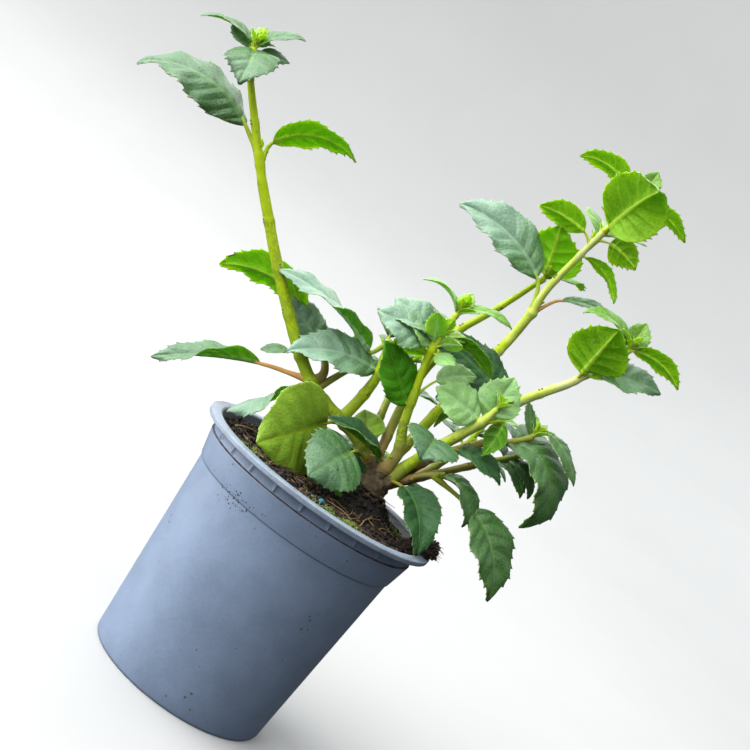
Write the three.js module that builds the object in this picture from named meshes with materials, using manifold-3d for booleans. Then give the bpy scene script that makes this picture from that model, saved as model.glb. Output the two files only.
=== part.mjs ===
// A young hardy fuchsia in a 9 cm nursery pot.
// Millimetres, +Z up, +X to the right and +Y away from the viewer.
// The origin is the middle of the pot's flat underside.

import * as THREE from "three";
import { mergeVertices } from "three/addons/utils/BufferGeometryUtils.js";
import Module from "manifold-3d";

const wasm = await Module();
wasm.setup();

// Driving dimensions

const POT = {
  height: 85,
  lipRadius: 45,
  lipThickness: 2,
  grooveRadius: 39.9,
  grooveDrop: 6.2,
  collarRadius: 40.9,
  collarDrop: 15.1,
  shoulderRadius: 38.8,
  shoulderStep: 0.5,
  baseRadius: 33.3,
  wall: 1.1,
  floor: 1.6,
  edge: 0.8,
  bead: 0.5,
  sides: 40,
};
const DRAIN = { count: 6, ringRadius: 22, radius: 3.2, sides: 8 };
const COMPOST = {
  level: 81.6,
  moundHeight: 8.5,
  moundRadius: 15,
  moundFall: 3,
  lumpHeight: 0.5,
  lumpPitch: 16,
  rings: 5,
  sides: 26,
};
const RIM_CLUMP = {
  lumps: [
    { centre: [37, -4.5, 83.4], size: [4.2, 4.2, 4.4] },
    { centre: [42.4, -5, 88], size: [3.6, 3.4, 3.6] },
  ],
  reach: 6,
};
const CLEARANCE = 0.3;
const WELD = 1e-4;

const LEAF_THICKNESS = 0.7;
const STALK = { radius: 0.75, ofLength: 0.06, flare: 1.15, tipShare: 0.5, sunkTo: 0.1, sides: 3 };
// The two powers of a blade's outline. From a width of 0.7 of its length on, the base gets fuller.
const WIDEST = { base: 0.72, roundBase: 0.5, tip: 0.98 };
const ROUND = { from: 0.7, to: 1 };
const STATIONS = [0.1, 0.32, 0.58, 0.83];
const GENTLE_DROOP = 50;
const GENTLE_STATIONS = [0.12, 0.42, 0.76];
const LIMB_SIDES = 8;
const TWIG_SIDES = 5;
const LIMB_STEPS = 3;
const TWIG_STEPS = 2;
const SMALL_LEAF = 16;
const SMALL_STATIONS = [0.2, 0.6];

// The woody crown and the limbs, each a tapering run through a few places.
// way: the places it passes; radii: at its foot and at its tip.

const LIMBS = {
  crown: { way: [[14.5, 7, 90.8], [15, 7.2, 94.5], [15.2, 7.3, 98]], radii: [6, 4.8] },
  left_stem: {
    way: [[10.5, 8.2, 97], [0.3, 9, 102.3], [-23.3, 7, 108.9], [-50.6, 5, 130.3], [-75.7, 2.3, 154.5]],
    radii: [2.5, 1.75],
  },
  middle_left_stem: { way: [[-7, 9, 105.5], [-5.8, 9, 114], [-5.5, 9, 122]], radii: [2.3, 1.8] },
  centre_stem: {
    way: [[14.6, 5, 97.5], [15.3, 4, 107], [11.5, 3, 115], [9, 2, 123]],
    radii: [2.5, 1.8],
  },
  right_front_stem: { way: [[18.6, 4.6, 97], [22, 2, 110], [30, -1, 129]], radii: [2.1, 1.6] },
  right_stem: { way: [[19.8, 8, 97.5], [26, 8, 112], [37, 6, 127]], radii: [1.7, 1.4] },
  low_right_stem: { way: [[19.5, 10.5, 95], [29.5, 13, 106.5], [43, 12, 122.5]], radii: [1.5, 1.2] },
  right_top_stem: {
    way: [[17.5, 10, 98], [30, 18, 124], [39.5, 17, 145], [48.7, 14, 159.5]],
    radii: [1.9, 1.5],
  },
  tall_stem: {
    way: [[14.8, 10, 98], [19, 23, 128], [23.7, 29, 156], [24.8, 27, 170.6]],
    radii: [2, 1.6],
  },
  rear_stem: { way: [[11.5, 10.5, 97], [6.5, 24, 125], [7.7, 32, 151.5]], radii: [1.8, 1.5] },
  back_left_stem: { way: [[11.5, 11.5, 95], [5, 28, 105], [1.5, 41, 118]], radii: [1.6, 1.3] },
  back_right_stem: { way: [[18.5, 12, 94.5], [28, 30, 104], [34, 43, 116]], radii: [1.6, 1.3] },
};

// Masses of foliage: a leafy stem that goes on from a limb, and its leaves.
// Each leaf row: how far up the stem it stands (0 to 1), heading (0 is +X, 90 is +Y) and
// rise of the blade where it starts, length and rise of its stalk, blade length and width,
// how far the blade bends down along its length, roll and fold at its base and at its tip.
// A positive roll lifts the leaf's left side, a positive fold lifts both sides.

const MASSES = {
  left_top_shoot: {
    on: "left_stem",
    way: [[-75.9, 2.3, 154.8], [-97.5, 1, 179], [-103, 0, 188.5]],
    radii: [1.6, 0.8],
    leaves: [
      [0.115, 179, 33, 10.7, 30, 46.4, 21, 78, -53, -23, -40, 26],
      [0.07, 358, 63, 8.5, 95, 31.7, 13, 81, -48, -25, 6, 6],
      [0.95, 291, -8, 0.6, 24, 18.5, 18, 75, 20, 50, 1, 1],
      [0.96, 180, 26, 2, 40, 21, 7, 66, -18, -18, 20, 20],
      [0.95, 8, 72, 2, 75, 17, 8.5, 60, 25, 25, 15, 15],
      [0.93, 18, 25, 2, 25, 11, 6, 15, 45, 45, 10, 10],
      [0.93, 165, 22, 2, 20, 11.5, 7, 5, -50, -50, 5, 5],
      [0.97, 100, 70, 1.5, 70, 8, 7, 10, 0, 0, 10, 10],
      [0.98, 262, 80, 1, 80, 6.5, 5.5, -10, 0, 0, 30, 30],
    ],
  },
  left_twig: {
    on: "left_stem",
    way: [[-21, 9, 113], [-25, 12, 118], [-37, 15, 124.5]],
    radii: [2, 0.8],
    leaves: [
      [0.98, 172, 10, 8, 37, 33, 17, 47, 45, 45, 10, 20],
      [0.5, 182, 24, 3, 35, 21, 16, 5, -50, -50, 0, 5],
      [0.6, 100, 15, 3, 30, 20, 13, 30, 0, 0, 10, 10],
      [0.98, 200, 50, 3.7, 14, 15.6, 7.5, 37, 63, 62, 8, 8],
    ],
  },
  left_inner_twig: {
    on: "left_stem",
    way: [[-18, 9.5, 112.5], [-16, 10.5, 117], [-14, 12, 121]],
    radii: [1.4, 1],
    leaves: [
      [0.95, 82, 35, 2, 45, 19, 12, 45, 0, 0, 10, 10],
      [0.9, 30, 30, 2, 40, 15, 10, 40, 0, 0, 10, 10],
      [0.6, 112, 5, 2, 20, 12, 9, 30, 0, 0, 10, 10],
    ],
  },
  middle_left_shoot: {
    on: "middle_left_stem",
    way: [[-5.5, 9, 122.3], [-7.6, 10, 129.5], [-10, 11, 135.5]],
    radii: [1.6, 0.9],
    leaves: [
      [0.14, 196, 1, 1, 30, 33, 18.4, 46, -39, -28, 1, 28],
      [0.88, 191, 27, 6.7, -56, 42.4, 20.5, 39, 32, -38, 18, 4],
      [0.05, 20, 50, 2, 50, 7, 4.5, 20, 0, 0, 15, 15],
      [0.5, 85, 20, 4, 40, 24, 14, 45, 0, 0, 10, 10],
      [0.95, 120, 40, 2, 50, 17, 11, 50, 0, 0, 15, 15],
    ],
  },
  centre_shoot: {
    on: "centre_stem",
    way: [[9, 2, 123.3], [5, 1, 137], [3.5, 0, 147], [3.6, 0, 157]],
    radii: [1.6, 0.9],
    leaves: [
      [0.01, 200, 38, 2, -75, 24.5, 15.5, 5, -65, -65, 5, 10],
      [0.06, 24, 55, 9.2, 68, 14.9, 10.5, 34, 37, 33, 3, 9],
      [0.6, 168, 20, 2, 20, 19, 15, 20, -50, -50, 5, 5],
      [0.5, 192, 8, 3, 20, 20, 17, 20, -45, -45, 5, 5],
      [0.6, 184, 15, 1.5, 20, 19, 8, 55, -20, -20, 10, 10],
      [0.7, 5, 30, 1, 30, 9, 7, 15, 30, 30, 5, 5],
      [0.48, 201, 27, 1.7, 41, 10.1, 8.2, 25, -48, -32, 3, 6],
      [0.65, 8, 22, 3, 30, 21, 11, 55, -25, -25, 15, 10],
      [0.42, 190, -5, 1, 0, 14, 9, 30, 45, 45, 10, 10],
      [0.5, 80, 25, 2, 40, 13, 9, 30, 0, 0, 10, 10],
      [0.68, 112, 38, 2, 50, 16, 10, 50, 0, 0, 15, 15],
      [0.48, 238, 52, 3.7, 61, 13.3, 8, 17, 49, 33, 19, 18],
      [0.52, 306, 34, 3.9, 39, 10.8, 6, 18, -39, -26, 9, 6],
      [0.46, 313, 8, 2.6, 15, 10.8, 6.5, 2, 61, 40, 1, 4],
      [0.7, 280, 70, 1, 70, 7, 5, 10, 0, 0, 25, 25],
      [0.97, 180, 55, 1, 60, 18, 7, 95, -5, -5, 20, 20],
      [0.97, 0, 55, 1, 60, 20, 8, 70, 20, 20, 20, 10],
      [1, 80, 75, 1, 80, 8, 6, 15, 0, 0, 25, 25],
      [1, 280, 75, 1, 80, 7, 5, 15, 0, 0, 25, 25],
    ],
  },
  right_front_shoot: {
    on: "right_front_stem",
    way: [[30.3, -1, 129.3], [32, -1.5, 134], [33, -2, 139]],
    radii: [1.5, 0.9],
    leaves: [
      [0.35, 187, 8, 1.5, 10, 18, 15, 12, -60, -60, 5, 5],
      [0.6, 92, 72, 1, 78, 16, 15.5, 5, 0, 0, 10, 10],
      [0.3, 359, -80, 8, 33, 13.5, 12.5, 15, -39, -26, -5, 0],
      [0.05, 160, -60, 8, 20, 12, 10, 20, 0, 0, 5, 5],
    ],
  },
  right_shoot: {
    on: "right_stem",
    way: [[36.8, 5.9, 127.3], [43.5, 5.5, 132], [49, 6, 138]],
    radii: [1.2, 0.8],
    leaves: [
      [0.38, 346, 38, 1, 10, 42, 20, 165, 29, 20, 10, 4],
      [0.97, 170, 52, 0.6, 30, 12.5, 4.5, 5, -50, -50, 8, 8],
      [0.92, 343, -2, 6.6, 58, 21.5, 9, 50, 23, 19, -1, -10],
      [1, 120, 50, 1, 60, 9, 4, 20, 0, 0, 20, 20],
      [1, 20, 50, 1, 60, 7, 4, 20, 0, 0, 20, 20],
      [0.6, 55, 32, 2, 40, 20, 13, 40, 0, 0, 10, 10],
    ],
  },
  low_right_shoot: {
    on: "low_right_stem",
    way: [[43.3, 12, 122.8], [46.5, 12, 126], [50, 13, 130]],
    radii: [1, 0.7],
    leaves: [
      [0.05, 335, 22, 1, 25, 17, 9, 80, 20, 20, 15, 10],
      [0.6, 350, 10, 1, 10, 16, 9, 80, 25, 25, 10, 10],
      [0.95, 5, 25, 1.5, 30, 26, 11, 120, 10, 10, 10, 0],
      [0.4, 85, 20, 2, 30, 20, 12, 45, 0, 0, 10, 10],
      [0.9, 130, 40, 2, 50, 14, 9, 40, 0, 0, 10, 10],
    ],
  },
  low_right_twig: {
    on: "crown",
    way: [[19.6, 6, 96.5], [25.5, 2.5, 105], [31, 0.5, 109.5]],
    radii: [1.4, 1],
    leaves: [
      [0.85, 351, -12, 17, -5, 33, 19, 62, 45, 30, 10, 10],
      [1, 340, 25, 1, 25, 22, 14, 110, 10, 10, 20, 10],
    ],
  },
  right_top_shoot: {
    on: "right_top_stem",
    way: [[49, 13.9, 160], [53.4, 12, 169.2], [57.8, 11, 180.4]],
    radii: [1.3, 0.8],
    leaves: [
      [0.1, 270, 62, 4, 55, 24, 22, 14, 0, 0, 10, 10],
      [1, 90, 75, 1, 80, 11, 9.5, 10, 0, 0, 20, 20],
      [0.95, 182, 50, 2, 60, 21, 11, 95, -20, -20, 15, 15],
      [0.97, 0, 25, 2.5, 40, 21, 10, 60, -40, -40, 10, 10],
      [0.3, 2, 30, 4, 50, 23, 16, 25, 35, 35, 10, 10],
      [0.4, 95, 30, 3, 50, 20, 12, 45, 0, 0, 10, 10],
    ],
  },
  tall_shoot: {
    on: "tall_stem",
    way: [[24.8, 27, 171], [24.2, 25, 182], [27, 22, 202.5], [31, 18, 225]],
    radii: [1.5, 0.8],
    leaves: [
      [0.02, 183, 33, 12, 62, 39, 19, 50, -55, -55, 10, 20],
      [0.02, 8, 35, 11, 58, 24, 8, 45, 20, 20, 15, 15],
      [0.66, 180, 10, 5, 30, 18.5, 12, 30, 50, 50, 10, 10],
      [0.76, 279, 47, 3.9, 34, 34.6, 24.2, 36, -46, -8, -30, 30],
      [0.92, 180, 35, 6, 50, 22, 11, 70, 40, 40, 15, 15],
      [1, 95, 78, 1.5, 80, 9.5, 8, 5, 0, 0, 20, 20],
      [0.97, 2, 8, 3, 35, 20, 9, 35, -35, -35, 10, 10],
      [0.7, 350, 5, 5, 20, 13, 12, 30, -60, -60, 5, 5],
      [0.74, 15, 25, 4, 25, 13, 5, 10, 10, 10, 10, 10],
      [0.59, 355, 10, 2, 10, 20, 9, 65, -25, -25, 10, 10],
      [0.8, 190, 35, 1, 40, 7, 4, 20, 0, 0, 15, 15],
      [0.7, 95, 35, 3, 50, 24, 15, 50, 0, 0, 10, 10],
      [0.92, 85, 45, 2, 55, 15, 10, 50, 0, 0, 15, 15],
    ],
  },
  rear_shoot: {
    on: "rear_stem",
    way: [[7.9, 32.1, 151.9], [14.5, 33, 166], [21.5, 33, 184]],
    radii: [1.4, 0.9],
    leaves: [
      [0.98, 235, 68, 2, 65, 20, 22, 20, 20, 20, 10, 10],
      [0.96, 50, 35, 3, 50, 22, 13, 50, 0, 0, 10, 10],
    ],
  },
  back_left_shoot: {
    on: "back_left_stem",
    way: [[1.4, 41.4, 118.5], [0.5, 45, 124], [1, 48, 131]],
    radii: [1.2, 0.8],
    leaves: [
      [0.1, 165, 15, 3, 30, 17, 12, 25, 0, 0, 10, 10],
      [0.15, 20, 20, 3, 30, 18, 12, 25, 0, 0, 10, 10],
      [0.5, 95, 20, 3, 40, 20, 13, 50, 0, 0, 10, 10],
      [0.95, 60, 45, 2, 50, 16, 10, 50, 0, 0, 15, 15],
      [0.95, 140, 45, 2, 50, 14, 9, 50, 0, 0, 15, 15],
    ],
  },
  back_right_shoot: {
    on: "back_right_stem",
    way: [[34.2, 43.4, 116.5], [35.5, 46.5, 122], [36, 49, 129]],
    radii: [1.2, 0.8],
    leaves: [
      [0.1, 150, 15, 3, 30, 17, 12, 25, 0, 0, 10, 10],
      [0.15, 355, 10, 3, 30, 18, 12, 40, 0, 0, 10, 10],
      [0.5, 70, 20, 3, 40, 20, 13, 50, 0, 0, 10, 10],
      [0.95, 20, 45, 2, 50, 14, 9, 50, 0, 0, 15, 15],
      [0.95, 110, 45, 2, 50, 16, 10, 50, 0, 0, 15, 15],
    ],
  },
};

// Leaves that spring singly from a limb or from the crown.

const SINGLE_LEAVES = {
  long_left_leaf: ["left_stem", [0.5, 184, -22, 17.8, -17, 38, 15, 20, 30, -50, 50, 5]],
  small_left_leaf: ["left_stem", [0.57, 195, -27, 4.4, -11, 9.9, 6.8, 6, -22, -21, 16, 13]],
  rim_left_leaf: ["left_stem", [0.49, 208, -44, 7, -50, 24, 14, 12, 60, -35, 10, -35]],
  broad_front_leaf: ["left_stem", [0.32, 239, -30, 9.4, -13, 31.5, 33.5, -1, -79, -50, 4, -5]],
  front_leaf: ["left_stem", [0.06, 249, -25, 16, 5, 23, 23.5, 14, -28, -23, 6, -21]],
  strap_leaf: ["centre_stem", [0.1, 205, 15, 4, 25, 25, 14, 20, -10, -10, 35, 25]],
  olive_leaf: ["left_stem", [0.17, 122, 34, 3, 87, 14.9, 12.5, 12, -44, -29, 10, 8]],
  butterfly_leaf: ["right_front_stem", [0.55, 268, -10, 9, 55, 13, 20, 50, 0, 0, 12, 12]],
  mid_right_leaf: ["right_front_stem", [0.72, 355, 20, 6, 20, 19, 12.5, 45, 25, 25, 15, 15]],
  rim_right_leaf: ["crown", [0.75, 314, 2, 12, 14, 28, 16, 64, 30, 30, 30, 35]],
  low_back_leaf: ["crown", [0.6, 102, 15, 14, 15, 26, 16, 65, 0, 0, 10, 10]],
  low_back_left_leaf: ["crown", [0.5, 150, 10, 13, 10, 26, 17, 50, 0, 0, 10, 10]],
  low_back_right_leaf: ["crown", [0.6, 62, 10, 15, 10, 27, 16, 60, 0, 0, 10, 10]],
  dark_rear_leaf: ["right_top_stem", [0.6, 173, 14, 3, 20, 35, 19, 14, -55, -55, 5, 5]],
};

// Closed solids

function solidFrom(geometry) {
  const plain = geometry.clone();
  plain.deleteAttribute("normal");
  plain.deleteAttribute("uv");
  const merged = mergeVertices(plain, WELD);
  const mesh = new wasm.Mesh({
    numProp: 3,
    vertProperties: new Float32Array(merged.attributes.position.array),
    triVerts: new Uint32Array(merged.index.array),
  });
  return new wasm.Manifold(mesh);
}

function geometryFrom(solid) {
  const mesh = solid.getMesh();
  const geometry = new THREE.BufferGeometry();
  geometry.setAttribute("position", new THREE.BufferAttribute(mesh.vertProperties, 3));
  geometry.setIndex(new THREE.BufferAttribute(mesh.triVerts, 1));
  geometry.computeVertexNormals();
  return geometry;
}

function solidOf(points, faces) {
  const geometry = new THREE.BufferGeometry();
  const flat = points.flatMap((point) => point.toArray());
  geometry.setAttribute("position", new THREE.Float32BufferAttribute(flat, 3));
  geometry.setIndex(faces.flat());
  return solidFrom(geometry);
}

function degrees(angle) {
  return THREE.MathUtils.degToRad(angle);
}

// Limbs

// A smooth run through the places of a way, at t from 0 to 1.
function wayPoint(way, t) {
  const spans = way.length - 1;
  const span = Math.min(Math.floor(t * spans), spans - 1);
  const u = t * spans - span;
  const place = (index) => new THREE.Vector3(...way[index]);
  const start = place(span);
  const end = place(span + 1);
  const before = span > 0 ? place(span - 1) : start.clone().multiplyScalar(2).sub(end);
  const after = span + 2 <= spans ? place(span + 2) : end.clone().multiplyScalar(2).sub(start);
  const weights = [
    (-u + 2 * u * u - u * u * u) / 2,
    (2 - 5 * u * u + 3 * u * u * u) / 2,
    (u + 4 * u * u - 3 * u * u * u) / 2,
    (-u * u + u * u * u) / 2,
  ];
  const point = new THREE.Vector3();
  [before, start, end, after].forEach((corner, i) => point.addScaledVector(corner, weights[i]));
  return point;
}

// A tube of many-sided rings round a list of points, closed at both ends.
function taperedTube(points, radii, sides) {
  const rings = [];
  let across = null;
  points.forEach((point, i) => {
    const ahead = points[Math.min(i + 1, points.length - 1)];
    const behind = points[Math.max(i - 1, 0)];
    const along = ahead.clone().sub(behind).normalize();
    if (across === null) {
      const steep = Math.abs(along.z) > Math.abs(along.x);
      const upright = steep ? new THREE.Vector3(1, 0, 0) : new THREE.Vector3(0, 0, 1);
      across = new THREE.Vector3().crossVectors(upright, along).normalize();
    }
    across = across.clone().addScaledVector(along, -across.dot(along)).normalize();
    const other = new THREE.Vector3().crossVectors(along, across);
    for (let side = 0; side < sides; side += 1) {
      const turn = (2 * Math.PI * side) / sides;
      const corner = point.clone();
      corner.addScaledVector(across, radii[i] * Math.cos(turn));
      corner.addScaledVector(other, radii[i] * Math.sin(turn));
      rings.push(corner);
    }
  });
  const faces = [];
  for (let ring = 0; ring < points.length - 1; ring += 1) {
    for (let side = 0; side < sides; side += 1) {
      const a = ring * sides + side;
      const b = ring * sides + ((side + 1) % sides);
      faces.push([a, b, b + sides], [a, b + sides, a + sides]);
    }
  }
  const last = (points.length - 1) * sides;
  for (let side = 1; side < sides - 1; side += 1) {
    faces.push([0, side + 1, side], [last, last + side, last + side + 1]);
  }
  return solidOf(rings, faces);
}

function limbRadius(limb, t) {
  return THREE.MathUtils.lerp(limb.radii[0], limb.radii[1], t);
}

function limbSolid(limb, sides, extra = 0) {
  const steps = (sides === LIMB_SIDES ? LIMB_STEPS : TWIG_STEPS) * (limb.way.length - 1);
  const points = [];
  const radii = [];
  for (let i = 0; i <= steps; i += 1) {
    points.push(wayPoint(limb.way, i / steps));
    radii.push(limbRadius(limb, i / steps) + extra);
  }
  if (extra > 0) {
    const tip = points[steps].clone().sub(points[steps - 1]).normalize();
    const foot = points[0].clone().sub(points[1]).normalize();
    points.push(points[steps].clone().addScaledVector(tip, extra));
    radii.push(radii[steps]);
    points.unshift(points[0].clone().addScaledVector(foot, extra));
    radii.unshift(radii[0]);
  }
  return taperedTube(points, radii, sides);
}

// Leaves

function readLeaf(row) {
  const [at, heading, rise, stalk, stalkRise, length, width, droop, ...rest] = row;
  const [rollBase, rollTip, foldBase, foldTip] = rest;
  return { at, heading, rise, stalk, stalkRise, length, width, droop, rollBase, rollTip, foldBase, foldTip };
}

function direction(heading, rise) {
  const turn = degrees(heading);
  const lift = degrees(rise);
  return new THREE.Vector3(Math.cos(lift) * Math.cos(turn), Math.cos(lift) * Math.sin(turn), Math.sin(lift));
}

// Where the midrib is at s, from 0 at the blade's base to 1 at its tip: one even bend.
function midribPoint(leaf, base, s) {
  const rise = degrees(leaf.rise);
  const bend = degrees(Math.abs(leaf.droop) < 1 ? 1 : leaf.droop);
  const level = (leaf.length * (Math.sin(rise) - Math.sin(rise - bend * s))) / bend;
  const up = (leaf.length * (Math.cos(rise - bend * s) - Math.cos(rise))) / bend;
  const turn = degrees(leaf.heading);
  return base.clone().add(new THREE.Vector3(level * Math.cos(turn), level * Math.sin(turn), up));
}

function bladeHalfWidth(leaf, s) {
  const round = THREE.MathUtils.smoothstep(leaf.width / leaf.length, ROUND.from, ROUND.to);
  const base = THREE.MathUtils.lerp(WIDEST.base, WIDEST.roundBase, round);
  const widest = base / (base + WIDEST.tip);
  const peak = widest ** base * (1 - widest) ** WIDEST.tip;
  return ((leaf.width / 2) * s ** base * (1 - s) ** WIDEST.tip) / peak;
}

// The left edge, the midrib and the right edge of the blade at s, each as a point and
// the way its upper face looks.
function bladeStation(leaf, base, s) {
  const rise = leaf.rise - leaf.droop * s;
  const along = direction(leaf.heading, rise);
  const level = new THREE.Vector3(-Math.sin(degrees(leaf.heading)), Math.cos(degrees(leaf.heading)), 0);
  const upright = new THREE.Vector3().crossVectors(along, level);
  const roll = degrees(THREE.MathUtils.lerp(leaf.rollBase, leaf.rollTip, s));
  const fold = degrees(THREE.MathUtils.lerp(leaf.foldBase, leaf.foldTip, s));
  const left = level.clone().multiplyScalar(Math.cos(roll)).addScaledVector(upright, Math.sin(roll));
  const face = upright.clone().multiplyScalar(Math.cos(roll)).addScaledVector(level, -Math.sin(roll));
  const middle = midribPoint(leaf, base, s);
  const half = bladeHalfWidth(leaf, s);
  const edge = (side) => {
    const reach = left.clone().multiplyScalar(side * Math.cos(fold)).addScaledVector(face, Math.sin(fold));
    const look = face.clone().multiplyScalar(Math.cos(fold)).addScaledVector(left, -side * Math.sin(fold));
    return { point: middle.clone().addScaledVector(reach, half), look };
  };
  return [edge(1), { point: middle, look: face }, edge(-1)];
}

// Short and gently bent blades need fewer stations.
function bladeStations(leaf) {
  if (leaf.length < SMALL_LEAF) {
    return SMALL_STATIONS;
  }
  return leaf.droop < GENTLE_DROOP ? GENTLE_STATIONS : STATIONS;
}

// A thin closed blade, pointed at both ends.
function bladeSolid(leaf, base) {
  const stations = bladeStations(leaf);
  const rows = stations.map((s) => bladeStation(leaf, base, s));
  const ends = [bladeStation(leaf, base, 0)[1], bladeStation(leaf, base, 1)[1]];
  const points = [];
  const layer = (side) => {
    const first = points.length;
    const put = ({ point, look }) => {
      points.push(point.clone().addScaledVector(look, side * LEAF_THICKNESS / 2));
    };
    put(ends[0]);
    rows.forEach((row) => row.forEach(put));
    put(ends[1]);
    return first;
  };
  const top = layer(1);
  const under = layer(-1);
  const size = under - top;
  const last = size - 1;
  const at = (row, column) => 1 + row * 3 + column;
  const sheet = [];
  for (let column = 0; column < 2; column += 1) {
    sheet.push([0, at(0, column + 1), at(0, column)]);
    for (let row = 0; row < rows.length - 1; row += 1) {
      sheet.push([at(row, column), at(row, column + 1), at(row + 1, column + 1)]);
      sheet.push([at(row, column), at(row + 1, column + 1), at(row + 1, column)]);
    }
    sheet.push([at(rows.length - 1, column), at(rows.length - 1, column + 1), last]);
  }
  const faces = sheet.map(([a, b, c]) => [a, b, c]);
  sheet.forEach(([a, b, c]) => faces.push([under + a, under + c, under + b]));
  const leftEdge = [0, ...rows.map((_, row) => at(row, 0)), last];
  const rightEdge = [0, ...rows.map((_, row) => at(row, 2)), last];
  for (let i = 0; i < leftEdge.length - 1; i += 1) {
    const [a, b] = [leftEdge[i], leftEdge[i + 1]];
    faces.push([a, b, under + b], [a, under + b, under + a]);
    const [c, d] = [rightEdge[i], rightEdge[i + 1]];
    faces.push([c, under + d, d], [c, under + c, under + d]);
  }
  return solidOf(points, faces);
}

function leafSolid(limb, row) {
  const leaf = readLeaf(row);
  const root = wayPoint(limb.way, leaf.at);
  const base = root.clone().addScaledVector(direction(leaf.heading, leaf.stalkRise), leaf.stalk);
  const sunk = midribPoint(leaf, base, STALK.sunkTo);
  const radius = Math.min(STALK.radius, leaf.length * STALK.ofLength);
  const radii = [radius * STALK.flare, radius, radius * STALK.tipShare];
  const stalk = taperedTube([root, base, sunk], radii, STALK.sides);
  return stalk.add(bladeSolid(leaf, base));
}

function massSolid(mass) {
  const solids = [limbSolid(mass, TWIG_SIDES)];
  mass.leaves.forEach((row) => solids.push(leafSolid(mass, row)));
  return solids.reduce((whole, next) => whole.add(next));
}

// Keeps the largest piece of what is left after a cut.
function largest(solid) {
  return solid.decompose().reduce((best, piece) => (piece.volume() > best.volume() ? piece : best));
}

// Pot and compost

function potSolid() {
  const { height, lipThickness, wall, floor, sides } = POT;
  const lipUnder = height - lipThickness;
  const grooveFoot = height - POT.grooveDrop;
  const shoulder = height - POT.collarDrop;
  const inset = (radius) => radius - wall;
  const outline = [
    [0, 0],
    [POT.baseRadius, 0],
    [POT.shoulderRadius - POT.shoulderStep, shoulder - POT.edge],
    [POT.shoulderRadius, shoulder],
    [POT.grooveRadius + POT.bead, grooveFoot],
    [POT.grooveRadius, grooveFoot + POT.bead],
    [POT.grooveRadius + POT.bead, lipUnder],
    [POT.lipRadius, lipUnder],
    [POT.lipRadius, height - POT.edge],
    [POT.lipRadius - POT.edge, height],
    [POT.collarRadius, height],
    [inset(POT.grooveRadius), lipUnder - POT.edge],
    [inset(POT.shoulderRadius), shoulder],
    [inset(POT.shoulderRadius - POT.shoulderStep), shoulder - POT.shoulderStep],
    [inset(POT.baseRadius), floor],
    [0, floor],
  ];
  const profile = outline.map(([radius, up]) => new THREE.Vector2(radius, up));
  const turned = new THREE.LatheGeometry(profile, sides);
  turned.rotateX(Math.PI / 2);
  let pot = solidFrom(turned);
  for (let i = 0; i < DRAIN.count; i += 1) {
    const turn = (2 * Math.PI * i) / DRAIN.count;
    const hole = new THREE.CylinderGeometry(DRAIN.radius, DRAIN.radius, 3 * POT.floor, DRAIN.sides);
    hole.rotateX(Math.PI / 2);
    hole.translate(DRAIN.ringRadius * Math.cos(turn), DRAIN.ringRadius * Math.sin(turn), 0);
    pot = pot.subtract(solidFrom(hole));
  }
  return pot;
}

function compostHeight(x, y) {
  const [crownX, crownY] = LIMBS.crown.way[0];
  const away = Math.hypot(x - crownX, y - crownY) / COMPOST.moundRadius;
  const mound = COMPOST.moundHeight * Math.exp(-COMPOST.moundFall * away ** 4);
  const turn = (2 * Math.PI) / COMPOST.lumpPitch;
  const lumps = Math.sin(turn * x + 1) * Math.sin(turn * y) + Math.sin(2 * turn * (x - y));
  return COMPOST.level + mound + COMPOST.lumpHeight * lumps;
}

function compostSolid() {
  const inside = POT.wall + CLEARANCE;
  const rim = POT.grooveRadius - inside;
  const shoulder = POT.height - POT.collarDrop;
  const foot = POT.floor + CLEARANCE;
  const points = [new THREE.Vector3(0, 0, compostHeight(0, 0))];
  const ringAt = (radius, up) => {
    for (let side = 0; side < COMPOST.sides; side += 1) {
      const turn = (2 * Math.PI * side) / COMPOST.sides;
      const x = radius * Math.cos(turn);
      const y = radius * Math.sin(turn);
      points.push(new THREE.Vector3(x, y, up === null ? compostHeight(x, y) : up));
    }
  };
  for (let ring = 1; ring <= COMPOST.rings; ring += 1) {
    ringAt((rim * ring) / COMPOST.rings, null);
  }
  ringAt(POT.shoulderRadius - inside, shoulder);
  ringAt(POT.shoulderRadius - POT.shoulderStep - inside, shoulder - POT.shoulderStep);
  ringAt(POT.baseRadius - inside, foot);
  points.push(new THREE.Vector3(0, 0, foot));
  const faces = [];
  const index = (ring, side) => 1 + (ring - 1) * COMPOST.sides + (side % COMPOST.sides);
  const rings = COMPOST.rings + 3;
  const last = points.length - 1;
  for (let side = 0; side < COMPOST.sides; side += 1) {
    faces.push([0, index(1, side), index(1, side + 1)]);
    for (let ring = 1; ring < rings; ring += 1) {
      faces.push([index(ring, side), index(ring + 1, side), index(ring + 1, side + 1)]);
      faces.push([index(ring, side), index(ring + 1, side + 1), index(ring, side + 1)]);
    }
    faces.push([index(rings, side), last, index(rings, side + 1)]);
  }
  return solidOf(points, faces).add(rimClump());
}

// A clump that lies over the rim, kept clear of the lip.
function rimClump() {
  const lumps = RIM_CLUMP.lumps.map(({ centre, size }) => {
    const lump = new THREE.IcosahedronGeometry(1, 1);
    lump.scale(...size);
    lump.translate(...centre);
    return solidFrom(lump);
  });
  const inner = POT.grooveRadius - POT.wall - CLEARANCE;
  const outer = POT.lipRadius + RIM_CLUMP.reach;
  const top = POT.height + CLEARANCE;
  const foot = top - RIM_CLUMP.reach;
  const corners = [[inner, foot], [outer, foot], [outer, top], [inner, top], [inner, foot]];
  const lip = new THREE.LatheGeometry(corners.map(([r, up]) => new THREE.Vector2(r, up)), POT.sides);
  lip.rotateX(Math.PI / 2);
  return largest(lumps[0].add(lumps[1]).subtract(solidFrom(lip)));
}

// The assembly

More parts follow.
